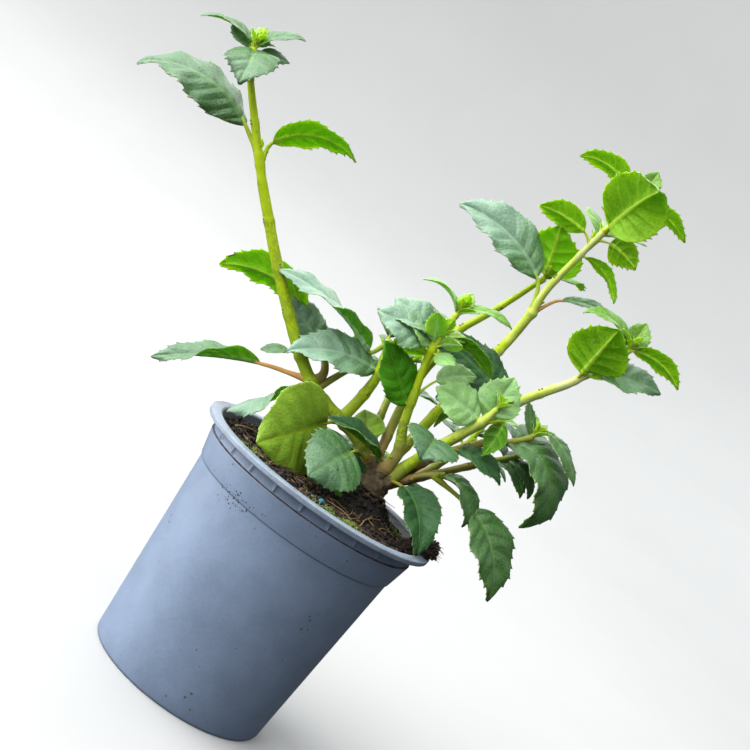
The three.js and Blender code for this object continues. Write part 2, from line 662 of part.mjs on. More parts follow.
const FINISH = {
  pot: [0x8e9bb2, 0.45],
  compost: [0x2e2119, 0.95],
  bark: [0x7a5a3a, 0.8],
  stem: [0x9aad3c, 0.6],
  leaf: [0x5d8f45, 0.5],
};

const plant = new THREE.Group();

function addPart(name, solid, finish) {
  const [color, roughness] = FINISH[finish];
  const material = new THREE.MeshStandardMaterial({ color, roughness, metalness: 0 });
  const mesh = new THREE.Mesh(geometryFrom(solid), material);
  mesh.name = name;
  plant.add(mesh);
}

addPart("pot", potSolid(), "pot");
addPart("compost", compostSolid(), "compost");

// Each limb is cut by the limbs before it, made a little larger, so that they keep clear.
const grown = [];
const clearOfLimbs = (solid) => largest(grown.reduce((left, limb) => left.subtract(limb), solid));

Object.entries(LIMBS).forEach(([name, limb]) => {
  addPart(name, clearOfLimbs(limbSolid(limb, LIMB_SIDES)), name === "crown" ? "bark" : "stem");
  grown.push(limbSolid(limb, LIMB_SIDES, CLEARANCE));
});

// Masses and single leaves keep clear of every limb in the same way.
Object.entries(MASSES).forEach(([name, mass]) => {
  addPart(name, clearOfLimbs(massSolid(mass)), "leaf");
});
Object.entries(SINGLE_LEAVES).forEach(([name, [limb, row]]) => {
  addPart(name, clearOfLimbs(leafSolid(LIMBS[limb], row)), "leaf");
});

export default plant;
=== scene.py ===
"""The looks of a young hardy fuchsia in a nursery pot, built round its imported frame.

Plant sizes are in millimetres here and become metres as each mesh is made.
+Z is up, +X is to the right and +Y is away from the viewer.
"""

import math

import bpy
import numpy as np
from mathutils import Matrix, Vector, noise


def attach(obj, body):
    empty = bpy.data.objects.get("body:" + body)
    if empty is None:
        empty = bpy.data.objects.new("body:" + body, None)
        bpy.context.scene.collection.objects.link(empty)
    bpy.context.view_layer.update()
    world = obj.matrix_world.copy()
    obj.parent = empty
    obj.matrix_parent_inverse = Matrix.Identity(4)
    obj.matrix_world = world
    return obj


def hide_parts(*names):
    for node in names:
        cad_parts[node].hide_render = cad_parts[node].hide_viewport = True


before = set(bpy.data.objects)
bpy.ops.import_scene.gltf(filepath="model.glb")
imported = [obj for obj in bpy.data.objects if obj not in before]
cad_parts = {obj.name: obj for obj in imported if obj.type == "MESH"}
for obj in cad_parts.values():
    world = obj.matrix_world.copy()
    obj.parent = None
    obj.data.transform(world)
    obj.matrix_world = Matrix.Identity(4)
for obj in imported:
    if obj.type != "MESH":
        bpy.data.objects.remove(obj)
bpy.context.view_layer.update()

MM = 0.001
UP = np.array([0.0, 0.0, 1.0])
ACROSS = np.array([1.0, 0.0, 0.0])
chance = np.random.default_rng(11)

# Driving dimensions

# The camera stands at a distance from the middle of the pot's rim, and sees it at a place
# given in px from the photograph's top left corner. Other lengths are in mm.
CAMERA = {
    "distance": 508.0,
    "focal_px": 1500.0,
    "frame_px": 750.0,
    "looks_down": 10.1,
    "roll": 36.2,
    "rim_centre_px": (322.6, 479.5),
    "sensor": 36.0,
    "nearest": 10.0,
}

POT = {
    "height": 85.0,
    "lip_radius": 45.0,
    "lip_thickness": 2.0,
    "groove_radius": 39.9,
    "groove_drop": 6.2,
    "collar_radius": 40.9,
    "collar_drop": 15.1,
    "shoulder_radius": 38.8,
    "shoulder_step": 0.5,
    "base_radius": 33.3,
    "wall": 1.1,
    "floor": 1.6,
    "sides": 360,
}
DRAIN = {"count": 6, "ring_radius": 22.0, "radius": 3.2, "sides": 32}
RIBS = {"count": 24, "depth": 0.7}
# The pot's own unevenness, and the angle above which an edge of it stays crisp.
OUT_OF_ROUND = 0.12
CRISP_EDGE = 50.0
COMPOST = {
    "level": 81.6,
    "mound_height": 8.5,
    "mound_radius": 15.0,
    "lump_height": 0.5,
    "lump_pitch": 16.0,
    "rings": 58,
    "sides": 150,
    "gap_to_pot": 0.3,
}
# Unevenness of the compost's top: height and feature size in mm, and where the noise starts.
COMPOST_ROUGH = ((1.1, 6.0, 0.0), (0.5, 1.6, 3.0))
CRUMBS = {"count": 4200, "smallest": 0.25, "largest": 1.35, "on_clump": 260, "off_wall": 1.5}
FIBRES = {
    "count": 220,
    "longest": 15.0,
    "straws": 34,
    "straw_radius": 0.34,
    "on_clump": 46,
    "steps": 9,
    "off_wall": 0.9,
}
# Specks on the pot's side: where their middle is round the pot, in degrees, and how they spread.
SPECKS = {"count": 150, "heading": 240.0, "spread": 6.5, "height": 1.7, "size": 0.17}
RIM_CLUMP = [
    {"centre": (37.0, -4.5, 83.4), "size": (4.2, 4.2, 4.4)},
    {"centre": (42.4, -5.0, 88.0), "size": (3.6, 3.4, 3.6)},
]

# A blade is widest where its two powers balance, as in the solids.
WIDEST = {"base": 0.72, "round_base": 0.5, "tip": 0.98}
ROUND = {"from": 0.7, "to": 1.0}
LAMINA = 0.4
# Blades wider than this are no more quilted or wavy than one this wide.
WIDEST_QUILT = 19.0
# Relief of a blade: its heights and the width of the midrib's trough as shares of the
# blade's width, and the wave's length and the unevenness in mm.
RELIEF = {
    "quilt": 0.027,
    "trough": 0.016,
    "trough_width": 0.06,
    "wave": 0.045,
    "wave_length": 11.0,
    "curl": 0.03,
    "uneven": 0.05,
    "midrib": 0.035,
    "vein": 0.010,
}
# The strip of the midrib: the most of half a blade that it takes, and half its width in mm,
# which is a share of a power of the blade's width and tapers to the tip.
RIB_STRIP = {"most": 0.42, "share": 0.34, "power": 0.3, "taper": 1.15}
# Teeth stand further apart on long leaves: pitch in mm, plus a share of the leaf's length.
TOOTH_PITCH = (1.5, 0.036)
TOOTH_PHASES = (0.0, 0.36, 0.70, 0.82)
TOOTH_HEIGHTS = (0.0, 0.1, 0.55, 1.0)
TOOTH_DEPTH = 0.95
# How far a tooth points forwards, how deep its notch is, and how far it pulls the blade along.
TOOTH_SHAPE = {"forward": 0.8, "notch": 0.35, "pull": 0.3}
# Old leaves near the compost have a smoother margin.
SMOOTH_MARGIN = {"olive": 0.4}
VEIN_SWEEP = 0.8
COLUMNS = (0.0, 0.09, 0.19, 0.30, 0.42, 0.54, 0.66, 0.77, 0.87, 0.95, 1.0)
LITTLE_LEAF = 8.0
LITTLE_COLUMNS = (0.0, 0.3, 0.68, 1.0)
# The nested pairs at a shoot's tip: rise and length of each.
TIP_LAYERS = ((50, 7.0), (66, 6.2), (80, 4.2))
# Leaves above this length on stalks above this length have buds in their axils.
BUDDED = {"length": 17.0, "stalk": 2.0}
STEM_SIDES = 18
STEM_STEP = 0.7
# Leaves above this length make a node on their stem. Between them are bare nodes, with a
# scar and a resting bud on each side.
NODE_LEAF = 12.0
BARE_NODES = {"first": 12.0, "spacing": 16.0, "clear": 6.0}
# Swelling of a stem at a node: share of its radius, and half its length in mm.
SWELLING = {"leafy": (0.2, 1.3), "bare": (0.13, 1.1)}
# Half sizes of a leaf scar and of the resting bud above it: across, along and out.
SCAR_SIZE = (0.75, 0.5, 0.42)
REST_BUD_SIZE = (0.5, 0.6, 0.55)
# Knobs and cracks of the woody crown and of the stems' feet on it. reach: how far from its
# run the noise is read; squash: its scale upwards; knobs and cracks: height and feature size.
WOOD = {
    "crown": {"reach": 6.0, "squash": 0.6, "knobs": (0.75, 3.2), "cracks": (0.35, 0.9)},
    "foot": {"reach": 2.0, "squash": 0.5, "knobs": (0.4, 2.4), "cracks": (0.15, 0.8)},
}
CROWN_REACH = 14.0

# The woody crown and the limbs, each a tapering run through a few places, and the masses:
# leafy shoots that go on from a limb's tip, or branch off it.
# way: the places it passes; radii: at its foot and at its tip; on: the limb it grows from.
# Each leaf is a row: how far along the way it stands, then its heading and rise, its stalk's
# length and rise, the blade's length and width, how far it droops from base to tip, how it
# rolls and folds at base and at tip, and its look.

LIMBS = {
    "crown": {"way": [[14.5, 7, 90.8], [15, 7.2, 94.5], [15.2, 7.3, 98]], "radii": [6, 4.8]},
    "left_stem": {
        "way": [
            [10.5, 8.2, 97], [0.3, 9, 102.3], [-23.3, 7, 108.9],
            [-50.6, 5, 130.3], [-75.7, 2.3, 154.5],
        ],
        "radii": [2.5, 1.75],
    },
    "middle_left_stem": {"way": [[-7, 9, 105.5], [-5.8, 9, 114], [-5.5, 9, 122]], "radii": [2.3, 1.8]},
    "centre_stem": {
        "way": [[14.6, 5, 97.5], [15.3, 4, 107], [11.5, 3, 115], [9, 2, 123]],
        "radii": [2.4, 1.5],
    },
    "right_front_stem": {"way": [[18.6, 4.6, 97], [22, 2, 110], [30, -1, 129]], "radii": [2.1, 1.6]},
    "right_stem": {"way": [[19.8, 8, 97.5], [26, 8, 112], [37, 6, 127]], "radii": [1.7, 1.4]},
    "low_right_stem": {
        "way": [[19.5, 10.5, 95], [29.5, 13, 106.5], [43, 12, 122.5]],
        "radii": [1.5, 1.2],
    },
    "right_top_stem": {
        "way": [[17.5, 10, 98], [30, 18, 124], [39.5, 17, 145], [48.7, 14, 159.5]],
        "radii": [1.9, 1.5],
    },
    "tall_stem": {
        "way": [[14.8, 10, 98], [19, 23, 128], [23.7, 29, 156], [24.8, 27, 170.6]],
        "radii": [2, 1.6],
    },
    "rear_stem": {"way": [[11.5, 10.5, 97], [6.5, 24, 125], [7.7, 32, 151.5]], "radii": [1.8, 1.5]},
    "back_left_stem": {"way": [[11.5, 11.5, 95], [5, 28, 105], [1.5, 41, 118]], "radii": [1.6, 1.3]},
    "back_right_stem": {"way": [[18.5, 12, 94.5], [28, 30, 104], [34, 43, 116]], "radii": [1.6, 1.3]},
}

MASSES = {
    "left_top_shoot": {
        "on": "left_stem",
        "way": [[-75.9, 2.3, 154.8], [-97.5, 1, 179], [-103, 0, 188.5]],
        "radii": [1.6, 0.8],
        "leaves": [
            [0.115, 179, 33, 10.7, 30, 46.4, 21, 78, -53, -23, -40, 26, "mature"],
            [0.07, 358, 63, 8.5, 95, 31.7, 13, 81, -48, -25, 6, 6, "fresh"],
            [0.95, 291, -8, 0.6, 24, 18.5, 18, 75, 20, 50, 1, 1, "mature"],
            [0.96, 180, 26, 2, 40, 21, 7, 66, -18, -18, 20, 20, "mature"],
            [0.95, 8, 72, 2, 75, 17, 8.5, 60, 25, 25, 15, 15, "mature"],
            [0.93, 18, 25, 2, 25, 11, 6, 15, 45, 45, 10, 10, "mature"],
            [0.93, 165, 22, 2, 20, 11.5, 7, 5, -50, -50, 5, 5, "mature"],
            [0.97, 100, 70, 1.5, 70, 8, 7, 10, 0, 0, 10, 10, "young"],
            [0.98, 262, 80, 1, 80, 6.5, 5.5, -10, 0, 0, 30, 30, "young"],
        ],
    },
    "left_twig": {
        "on": "left_stem",
        "way": [[-21, 9, 113], [-25, 12, 118], [-37, 15, 124.5]],
        "radii": [2, 0.8],
        "leaves": [
            [0.98, 172, 10, 8, 37, 33, 17, 47, 45, 45, 10, 20, "fresh"],
            [0.5, 182, 24, 3, 35, 21, 16, 5, -50, -50, 0, 5, "frost"],
            [0.6, 100, 15, 3, 30, 20, 13, 30, 0, 0, 10, 10, "mature"],
            [0.98, 200, 50, 3.7, 14, 15.6, 7.5, 37, 63, 62, 8, 8, "fresh"],
        ],
    },
    "left_inner_twig": {
        "on": "left_stem",
        "way": [[-18, 9.5, 112.5], [-16, 10.5, 117], [-14, 12, 121]],
        "radii": [1.4, 1],
        "leaves": [
            [0.95, 82, 35, 2, 45, 19, 12, 45, 0, 0, 10, 10, "mature"],
            [0.9, 30, 30, 2, 40, 15, 10, 40, 0, 0, 10, 10, "mature"],
            [0.6, 112, 5, 2, 20, 12, 9, 30, 0, 0, 10, 10, "mature"],
        ],
    },
    "middle_left_shoot": {
        "on": "middle_left_stem",
        "way": [[-5.5, 9, 122.3], [-7.6, 10, 129.5], [-10, 11, 135.5]],
        "radii": [1.6, 0.9],
        "leaves": [
            [0.14, 196, 1, 1, 30, 33, 18.4, 46, -39, -28, 1, 28, "frost"],
            [0.88, 191, 27, 6.7, -56, 42.4, 20.5, 39, 32, -38, 18, 4, "frost"],
            [0.05, 20, 50, 2, 50, 7, 4.5, 20, 0, 0, 15, 15, "young"],
            [0.5, 85, 20, 4, 40, 24, 14, 45, 0, 0, 10, 10, "mature"],
            [0.95, 120, 40, 2, 50, 17, 11, 50, 0, 0, 15, 15, "mature"],
        ],
    },
    "centre_shoot": {
        "on": "centre_stem",
        "way": [[9, 2, 123.3], [5, 1, 137], [3.5, 0, 147], [3.6, 0, 157]],
        "radii": [1.45, 0.9],
        "leaves": [
            [0.01, 200, 38, 2, -75, 24.5, 15.5, 5, -65, -65, 5, 10, "deep"],
            [0.06, 24, 55, 9.2, 68, 14.9, 10.5, 34, 37, 33, 3, 9, "pale"],
            [0.6, 168, 20, 2, 20, 19, 15, 20, -50, -50, 5, 5, "frost"],
            [0.5, 192, 8, 3, 20, 20, 17, 20, -45, -45, 5, 5, "frost"],
            [0.6, 184, 15, 1.5, 20, 19, 8, 55, -20, -20, 10, 10, "frost"],
            [0.7, 5, 30, 1, 30, 9, 7, 15, 30, 30, 5, 5, "young"],
            [0.48, 201, 27, 1.7, 41, 10.1, 8.2, 25, -48, -32, 3, 6, "pale"],
            [0.65, 8, 22, 3, 30, 21, 11, 55, -25, -25, 15, 10, "deep"],
            [0.42, 190, -5, 1, 0, 14, 9, 30, 45, 45, 10, 10, "fresh"],
            [0.5, 80, 25, 2, 40, 13, 9, 30, 0, 0, 10, 10, "mature"],
            [0.68, 112, 38, 2, 50, 16, 10, 50, 0, 0, 15, 15, "mature"],
            [0.48, 238, 52, 3.7, 61, 13.3, 8, 17, 49, 33, 19, 18, "pale"],
            [0.52, 306, 34, 3.9, 39, 10.8, 6, 18, -39, -26, 9, 6, "pale"],
            [0.46, 313, 8, 2.6, 15, 10.8, 6.5, 2, 61, 40, 1, 4, "pale"],
            [0.7, 280, 70, 1, 70, 7, 5, 10, 0, 0, 25, 25, "young"],
            [0.97, 180, 55, 1, 60, 18, 7, 95, -5, -5, 20, 20, "pale"],
            [0.97, 0, 55, 1, 60, 20, 8, 70, 20, 20, 20, 10, "fresh"],
            [1, 80, 75, 1, 80, 8, 6, 15, 0, 0, 25, 25, "young"],
            [1, 280, 75, 1, 80, 7, 5, 15, 0, 0, 25, 25, "young"],
        ],
    },
    "right_front_shoot": {
        "on": "right_front_stem",
        "way": [[30.3, -1, 129.3], [32, -1.5, 134], [33, -2, 139]],
        "radii": [1.5, 0.9],
        "leaves": [
            [0.35, 187, 8, 1.5, 10, 18, 15, 12, -60, -60, 5, 5, "pale"],
            [0.6, 92, 72, 1, 78, 16, 15.5, 5, 0, 0, 10, 10, "pale"],
            [0.3, 359, -80, 8, 33, 13.5, 12.5, 15, -39, -26, -5, 0, "deep"],
            [0.05, 160, -60, 8, 20, 12, 10, 20, 0, 0, 5, 5, "dark"],
        ],
    },
    "right_shoot": {
        "on": "right_stem",
        "way": [[36.8, 5.9, 127.3], [43.5, 5.5, 132], [49, 6, 138]],
        "radii": [1.2, 0.8],
        "leaves": [
            [0.38, 346, 38, 1, 10, 42, 20, 165, 29, 20, 10, 4, "shade"],
            [0.97, 170, 52, 0.6, 30, 12.5, 4.5, 5, -50, -50, 8, 8, "shade"],
            [0.92, 343, -2, 6.6, 58, 21.5, 9, 50, 23, 19, -1, -10, "shade"],
            [1, 120, 50, 1, 60, 9, 4, 20, 0, 0, 20, 20, "young"],
            [1, 20, 50, 1, 60, 7, 4, 20, 0, 0, 20, 20, "young"],
            [0.6, 55, 32, 2, 40, 20, 13, 40, 0, 0, 10, 10, "mature"],
        ],
    },
    "low_right_shoot": {
        "on": "low_right_stem",
        "way": [[43.3, 12, 122.8], [46.5, 12, 126], [50, 13, 130]],
        "radii": [1, 0.7],
        "leaves": [
            [0.05, 335, 22, 1, 25, 17, 9, 80, 20, 20, 15, 10, "shade"],
            [0.6, 350, 10, 1, 10, 16, 9, 80, 25, 25, 10, 10, "mature"],
            [0.95, 5, 25, 1.5, 30, 26, 11, 120, 10, 10, 10, 0, "mature"],
            [0.4, 85, 20, 2, 30, 20, 12, 45, 0, 0, 10, 10, "dark"],
            [0.9, 130, 40, 2, 50, 14, 9, 40, 0, 0, 10, 10, "mature"],
        ],
    },
    "low_right_twig": {
        "on": "crown",
        "way": [[19.6, 6, 96.5], [25.5, 2.5, 105], [31, 0.5, 109.5]],
        "radii": [1.4, 1],
        "leaves": [
            [0.85, 351, -12, 17, -5, 33, 19, 62, 45, 30, 10, 10, "shade"],
            [1, 340, 25, 1, 25, 22, 14, 110, 10, 10, 20, 10, "shade"],
        ],
    },
    "right_top_shoot": {
        "on": "right_top_stem",
        "way": [[49, 13.9, 160], [53.4, 12, 169.2], [57.8, 11, 180.4]],
        "radii": [1.3, 0.8],
        "leaves": [
            [0.1, 270, 62, 4, 55, 24, 22, 14, 0, 0, 10, 10, "bright"],
            [1, 90, 75, 1, 80, 11, 9.5, 10, 0, 0, 20, 20, "bright"],
            [0.95, 182, 50, 2, 60, 21, 11, 95, -20, -20, 15, 15, "fresh"],
            [0.97, 0, 25, 2.5, 40, 21, 10, 60, -40, -40, 10, 10, "bright"],
            [0.3, 2, 30, 4, 50, 23, 16, 25, 35, 35, 10, 10, "mature"],
            [0.4, 95, 30, 3, 50, 20, 12, 45, 0, 0, 10, 10, "fresh"],
        ],
    },
    "tall_shoot": {
        "on": "tall_stem",
        "way": [[24.8, 27, 171], [24.2, 25, 182], [27, 22, 202.5], [31, 18, 225]],
        "radii": [1.5, 0.8],
        "leaves": [
            [0.02, 183, 33, 12, 62, 39, 19, 50, -55, -55, 10, 20, "frost"],
            [0.02, 8, 35, 11, 58, 24, 8, 45, 20, 20, 15, 15, "mature"],
            [0.66, 180, 10, 5, 30, 18.5, 12, 30, 50, 50, 10, 10, "bright"],
            [0.76, 279, 47, 3.9, 34, 34.6, 24.2, 36, -46, -8, -30, 30, "bright"],
            [0.92, 180, 35, 6, 50, 22, 11, 70, 40, 40, 15, 15, "bright"],
            [1, 95, 78, 1.5, 80, 9.5, 8, 5, 0, 0, 20, 20, "bright"],
            [0.97, 2, 8, 3, 35, 20, 9, 35, -35, -35, 10, 10, "bright"],
            [0.7, 350, 5, 5, 20, 13, 12, 30, -60, -60, 5, 5, "bright"],
            [0.74, 15, 25, 4, 25, 13, 5, 10, 10, 10, 10, 10, "pale"],
            [0.59, 355, 10, 2, 10, 20, 9, 65, -25, -25, 10, 10, "fresh"],
            [0.8, 190, 35, 1, 40, 7, 4, 20, 0, 0, 15, 15, "fresh"],
            [0.7, 95, 35, 3, 50, 24, 15, 50, 0, 0, 10, 10, "fresh"],
            [0.92, 85, 45, 2, 55, 15, 10, 50, 0, 0, 15, 15, "fresh"],
        ],
    },
    "rear_shoot": {
        "on": "rear_stem",
        "way": [[7.9, 32.1, 151.9], [14.5, 33, 166], [21.5, 33, 184]],
        "radii": [1.4, 0.9],
        "leaves": [
            [0.98, 235, 68, 2, 65, 20, 22, 20, 20, 20, 10, 10, "fresh"],
            [0.96, 50, 35, 3, 50, 22, 13, 50, 0, 0, 10, 10, "fresh"],
        ],
    },
    "back_left_shoot": {
        "on": "back_left_stem",
        "way": [[1.4, 41.4, 118.5], [0.5, 45, 124], [1, 48, 131]],
        "radii": [1.2, 0.8],
        "leaves": [
            [0.1, 165, 15, 3, 30, 17, 12, 25, 0, 0, 10, 10, "mature"],
            [0.15, 20, 20, 3, 30, 18, 12, 25, 0, 0, 10, 10, "mature"],
            [0.5, 95, 20, 3, 40, 20, 13, 50, 0, 0, 10, 10, "mature"],
            [0.95, 60, 45, 2, 50, 16, 10, 50, 0, 0, 15, 15, "fresh"],
            [0.95, 140, 45, 2, 50, 14, 9, 50, 0, 0, 15, 15, "fresh"],
        ],
    },
    "back_right_shoot": {
        "on": "back_right_stem",
        "way": [[34.2, 43.4, 116.5], [35.5, 46.5, 122], [36, 49, 129]],
        "radii": [1.2, 0.8],
        "leaves": [
            [0.1, 150, 15, 3, 30, 17, 12, 25, 0, 0, 10, 10, "mature"],
            [0.15, 355, 10, 3, 30, 18, 12, 40, 0, 0, 10, 10, "mature"],
            [0.5, 70, 20, 3, 40, 20, 13, 50, 0, 0, 10, 10, "mature"],
            [0.95, 20, 45, 2, 50, 14, 9, 50, 0, 0, 15, 15, "fresh"],
            [0.95, 110, 45, 2, 50, 16, 10, 50, 0, 0, 15, 15, "fresh"],
        ],
    },
}

# Single leaves: the limb that each stands on, and its row.
SINGLE_LEAVES = {
    "long_left_leaf": ["left_stem", [0.5, 184, -22, 17.8, -17, 38, 15, 20, 30, -50, 50, 5, "mature"]],
    "small_left_leaf": ["left_stem", [0.57, 195, -27, 4.4, -11, 9.9, 6.8, 6, -22, -21, 16, 13, "mature"]],
    "rim_left_leaf": ["left_stem", [0.49, 208, -44, 7, -50, 24, 14, 12, 60, -35, 10, -35, "frost"]],
    "broad_front_leaf": [
        "left_stem", [0.32, 239, -30, 9.4, -13, 31.5, 33.5, -1, -79, -50, 4, -5, "olive"],
    ],
    "front_leaf": ["left_stem", [0.06, 249, -25, 16, 5, 23, 23.5, 14, -28, -23, 6, -21, "mature"]],
    "strap_leaf": ["centre_stem", [0.1, 205, 15, 4, 25, 25, 14, 20, -10, -10, 35, 25, "dark"]],
    "olive_leaf": ["left_stem", [0.17, 122, 34, 3, 87, 14.9, 12.5, 12, -44, -29, 10, 8, "olive"]],
    "butterfly_leaf": ["right_front_stem", [0.55, 268, -10, 9, 55, 13, 20, 50, 0, 0, 12, 12, "mature"]],
    "mid_right_leaf": ["right_front_stem", [0.72, 355, 20, 6, 20, 19, 12.5, 45, 25, 25, 15, 15, "dark"]],
    "rim_right_leaf": ["crown", [0.75, 314, 2, 12, 14, 28, 16, 64, 30, 30, 30, 35, "dark"]],
    "low_back_leaf": ["crown", [0.6, 102, 15, 14, 15, 26, 16, 65, 0, 0, 10, 10, "mature"]],
    "low_back_left_leaf": ["crown", [0.5, 150, 10, 13, 10, 26, 17, 50, 0, 0, 10, 10, "mature"]],
    "low_back_right_leaf": ["crown", [0.6, 62, 10, 15, 10, 27, 16, 60, 0, 0, 10, 10, "mature"]],
    "dark_rear_leaf": ["right_top_stem", [0.6, 173, 14, 3, 20, 35, 19, 14, -55, -55, 5, 5, "dark"]],
}

# Small leaves low on the crown, under the single leaves in front of it.
LOW_LEAVES = {
    "low_front_leaf": [0.2, 225, -5, 8, -30, 11.5, 8.5, 10, -50, -50, 5, 5, "deep"],
    "inner_front_leaf": [0.9, 183, 3, 1.5, 10, 12, 9, 10, -60, -60, 5, 5, "dark"],
}

# Leaf masses and single leaves by the part of the crown that they fill

REGIONS = {
    "left_foliage": (
        ("left_top_shoot", "left_twig", "left_inner_twig"),
        ("long_left_leaf", "small_left_leaf", "rim_left_leaf"),
    ),
    "middle_foliage": (
        ("middle_left_shoot", "centre_shoot"),
        ("broad_front_leaf", "front_leaf", "strap_leaf", "olive_leaf"),
    ),
    "right_foliage": (
        ("right_front_shoot", "right_shoot", "low_right_shoot", "low_right_twig"),
        ("butterfly_leaf", "mid_right_leaf", "rim_right_leaf"),
    ),
    "upper_foliage": (("right_top_shoot", "tall_shoot", "rear_shoot"), ("dark_rear_leaf",)),
    "back_foliage": (
        ("back_left_shoot", "back_right_shoot"),
        ("low_back_leaf", "low_back_left_leaf", "low_back_right_leaf"),
    ),
}
# Masses that branch off their limb, and those that end in nested young leaves.
SIDE_TWIGS = ("left_twig", "left_inner_twig", "low_right_twig")
TIP_SHOOTS = (
    "left_top_shoot", "centre_shoot", "right_front_shoot", "right_top_shoot", "tall_shoot",
    "rear_shoot", "right_shoot", "low_right_shoot", "back_left_shoot", "back_right_shoot",
)

# Water drops and specks of compost on a leaf: kind, where along it, where across and radius.
BITS = {
    ("left_top_shoot", 0): (("drop", 0.3, 0.5, 0.65), ("drop", 0.22, 0.3, 0.4)),
    ("right_front_shoot", 0): (("drop", 0.3, 0.3, 0.5), ("drop", 0.5, 0.45, 0.35)),
    ("right_top_shoot", 0): (
        ("drop", 0.45, -0.4, 0.6), ("drop", 0.6, -0.3, 0.4), ("drop", 0.3, 0.2, 0.4),
    ),
    ("front_leaf", 0): (
        ("crumb_black", 0.25, -0.3, 0.3), ("crumb_black", 0.4, -0.55, 0.25),
        ("crumb_black", 0.45, 0.3, 0.35), ("crumb_black", 0.6, -0.2, 0.25),
        ("crumb_black", 0.55, 0.6, 0.3), ("crumb_black", 0.75, 0.2, 0.25),
        ("crumb_brown", 0.3, 0.65, 0.3), ("crumb_black", 0.7, -0.5, 0.2),
        ("crumb_black", 0.2, 0.3, 0.2),
    ),
}
# Brown dried spots on a leaf: where along it (0 to 1), where across (-1 to 1) and radius.
SPOTS = {
    ("left_twig", 0): ((0.93, 0.3, 1.6), (0.84, 0.9, 1.4)),
    ("butterfly_leaf", 0): ((0.98, 0.0, 1.5),),
}
# Leaves with reddish stalks
RED_STALKS = {
    ("long_left_leaf", 0): "red",
    ("left_inner_twig", 0): "red",
    ("tall_shoot", 1): "red",
    ("centre_shoot", 0): "red",
}
# Shades of the stems, from woody to young, and the shades at each one's foot and tip.
STEM_SHADES = (
    (0.080, 0.042, 0.022),
    (0.190, 0.100, 0.045),
    (0.280, 0.188, 0.075),
    (0.265, 0.245, 0.062),
    (0.215, 0.270, 0.035),
    (0.290, 0.400, 0.022),
    (0.380, 0.510, 0.012),
    (0.480, 0.570, 0.100),
    (0.560, 0.600, 0.240),
)
# Near the crown a stem turns to wood: how many shades darker, and over how many mm.
WOODY_FOOT = {"darker": 2.6, "reach": 15.0, "nearer_than": 12.0}
STEM_LOOKS = {
    "left_stem": (4.2, 6.4),
    "middle_left_stem": (5.0, 6.2),
    "centre_stem": (4.7, 6.6),
    "right_front_stem": (5.8, 7.3),
    "right_stem": (1.8, 3.6),
    "low_right_stem": (1.9, 3.9),
    "right_top_stem": (6.5, 8.0),
    "tall_stem": (5.8, 7.8),
    "rear_stem": (4.0, 5.6),
    "back_left_stem": (2.8, 5.2),
    "back_right_stem": (2.8, 5.2),
    "left_twig": (1.8, 3.6),
    "left_inner_twig": (2.6, 4.2),
    "low_right_twig": (2.4, 4.4),
}
# Blotches and grain of a stem, in shades.
STEM_PATTERN = {"blotch": 0.35, "bands": 0.2, "grain": 0.16}
# Moss: middle of each patch, its spread and how many tufts.
MOSS = ((12, -28, 5, 150), (-24, -22, 3, 30), (-10, 30, 6, 60), (30, 12, 3, 30))
GRAINS = (((3.8, -26.0, 83.6), 1.1), ((15.6, 1.5, 130.6), 1.5))

# The floor and backdrop: how far out and how high it goes, in metres.
STAGE = {
    "profile": (
        (0.3, 0.0), (0.7, 0.0), (1.0, 0.0), (1.25, 0.035),
        (1.45, 0.12), (1.58, 0.27), (1.64, 0.5), (1.66, 1.2),
    ),
    "sides": 96,
}
LIGHT_AIM = (0.0, 0.0, 0.13)
# Softboxes: name, offset in metres from what they light, size, power and colour.
LIGHTS = (
    ("sky_key", (-1.05, -0.36, 0.92), 2.6, 58.0, (1.0, 0.995, 0.98)),
    ("back_fill", (-0.2, 1.0, 0.7), 1.0, 5.0, (1.0, 1.0, 0.97)),
    ("left_side", (-1.3, 0.15, 0.05), 1.4, 11.0, (0.96, 0.98, 1.0)),
)
# The light all round. sky: the way to its bright side; shades: places from the dark side (0)
# to the bright side (1), and how bright each is.
WORLD = {
    "sky": (-0.58, -0.12, 0.80),
    "tint": (0.93, 0.97, 1.0),
    "shades": ((0.0, 0.04), (0.38, 0.13), (0.55, 0.58), (0.75, 1.1), (1.0, 1.5)),
}

# Colours, as linear red, green and blue

UPPER = {
    # Mature upper faces: leaf green with painted blue-grey sky reflection, which thins in steps near the
    # stalk.
    "mature": (0.069, 0.163, 0.072),
    "pale": (0.195, 0.400, 0.102),
    # Whitish blue-green upper faces: partly the leaves' own grey-green bloom, partly painted reflection
    # of the bright sky.
    "frost": (0.195, 0.325, 0.225),
    "fresh": (0.092, 0.260, 0.012),
    "bright": (0.105, 0.260, 0.016),
    "deep": (0.046, 0.220, 0.003),
    # Dark and shade looks: partly the deep green of older leaves, partly painted shade on leaves that lie
    # in shadow.
    "dark": (0.022, 0.076, 0.025),
    "shade": (0.034, 0.118, 0.014),
    "olive": (0.195, 0.350, 0.026),
    "young": (0.210, 0.420, 0.060),
}
UNDER = {
    "mature": (0.095, 0.250, 0.006),
    "pale": (0.170, 0.350, 0.026),
    "frost": (0.095, 0.250, 0.006),
    "fresh": (0.150, 0.390, 0.003),
    "bright": (0.138, 0.315, 0.004),
    "deep": (0.050, 0.165, 0.004),
    # The dark and shade undersides are darkened the same way: partly their own colour, partly painted
    # shade.
    "dark": (0.048, 0.125, 0.006),
    "shade": (0.080, 0.200, 0.006),
    "olive": (0.250, 0.430, 0.018),
    "young": (0.230, 0.450, 0.015),
}
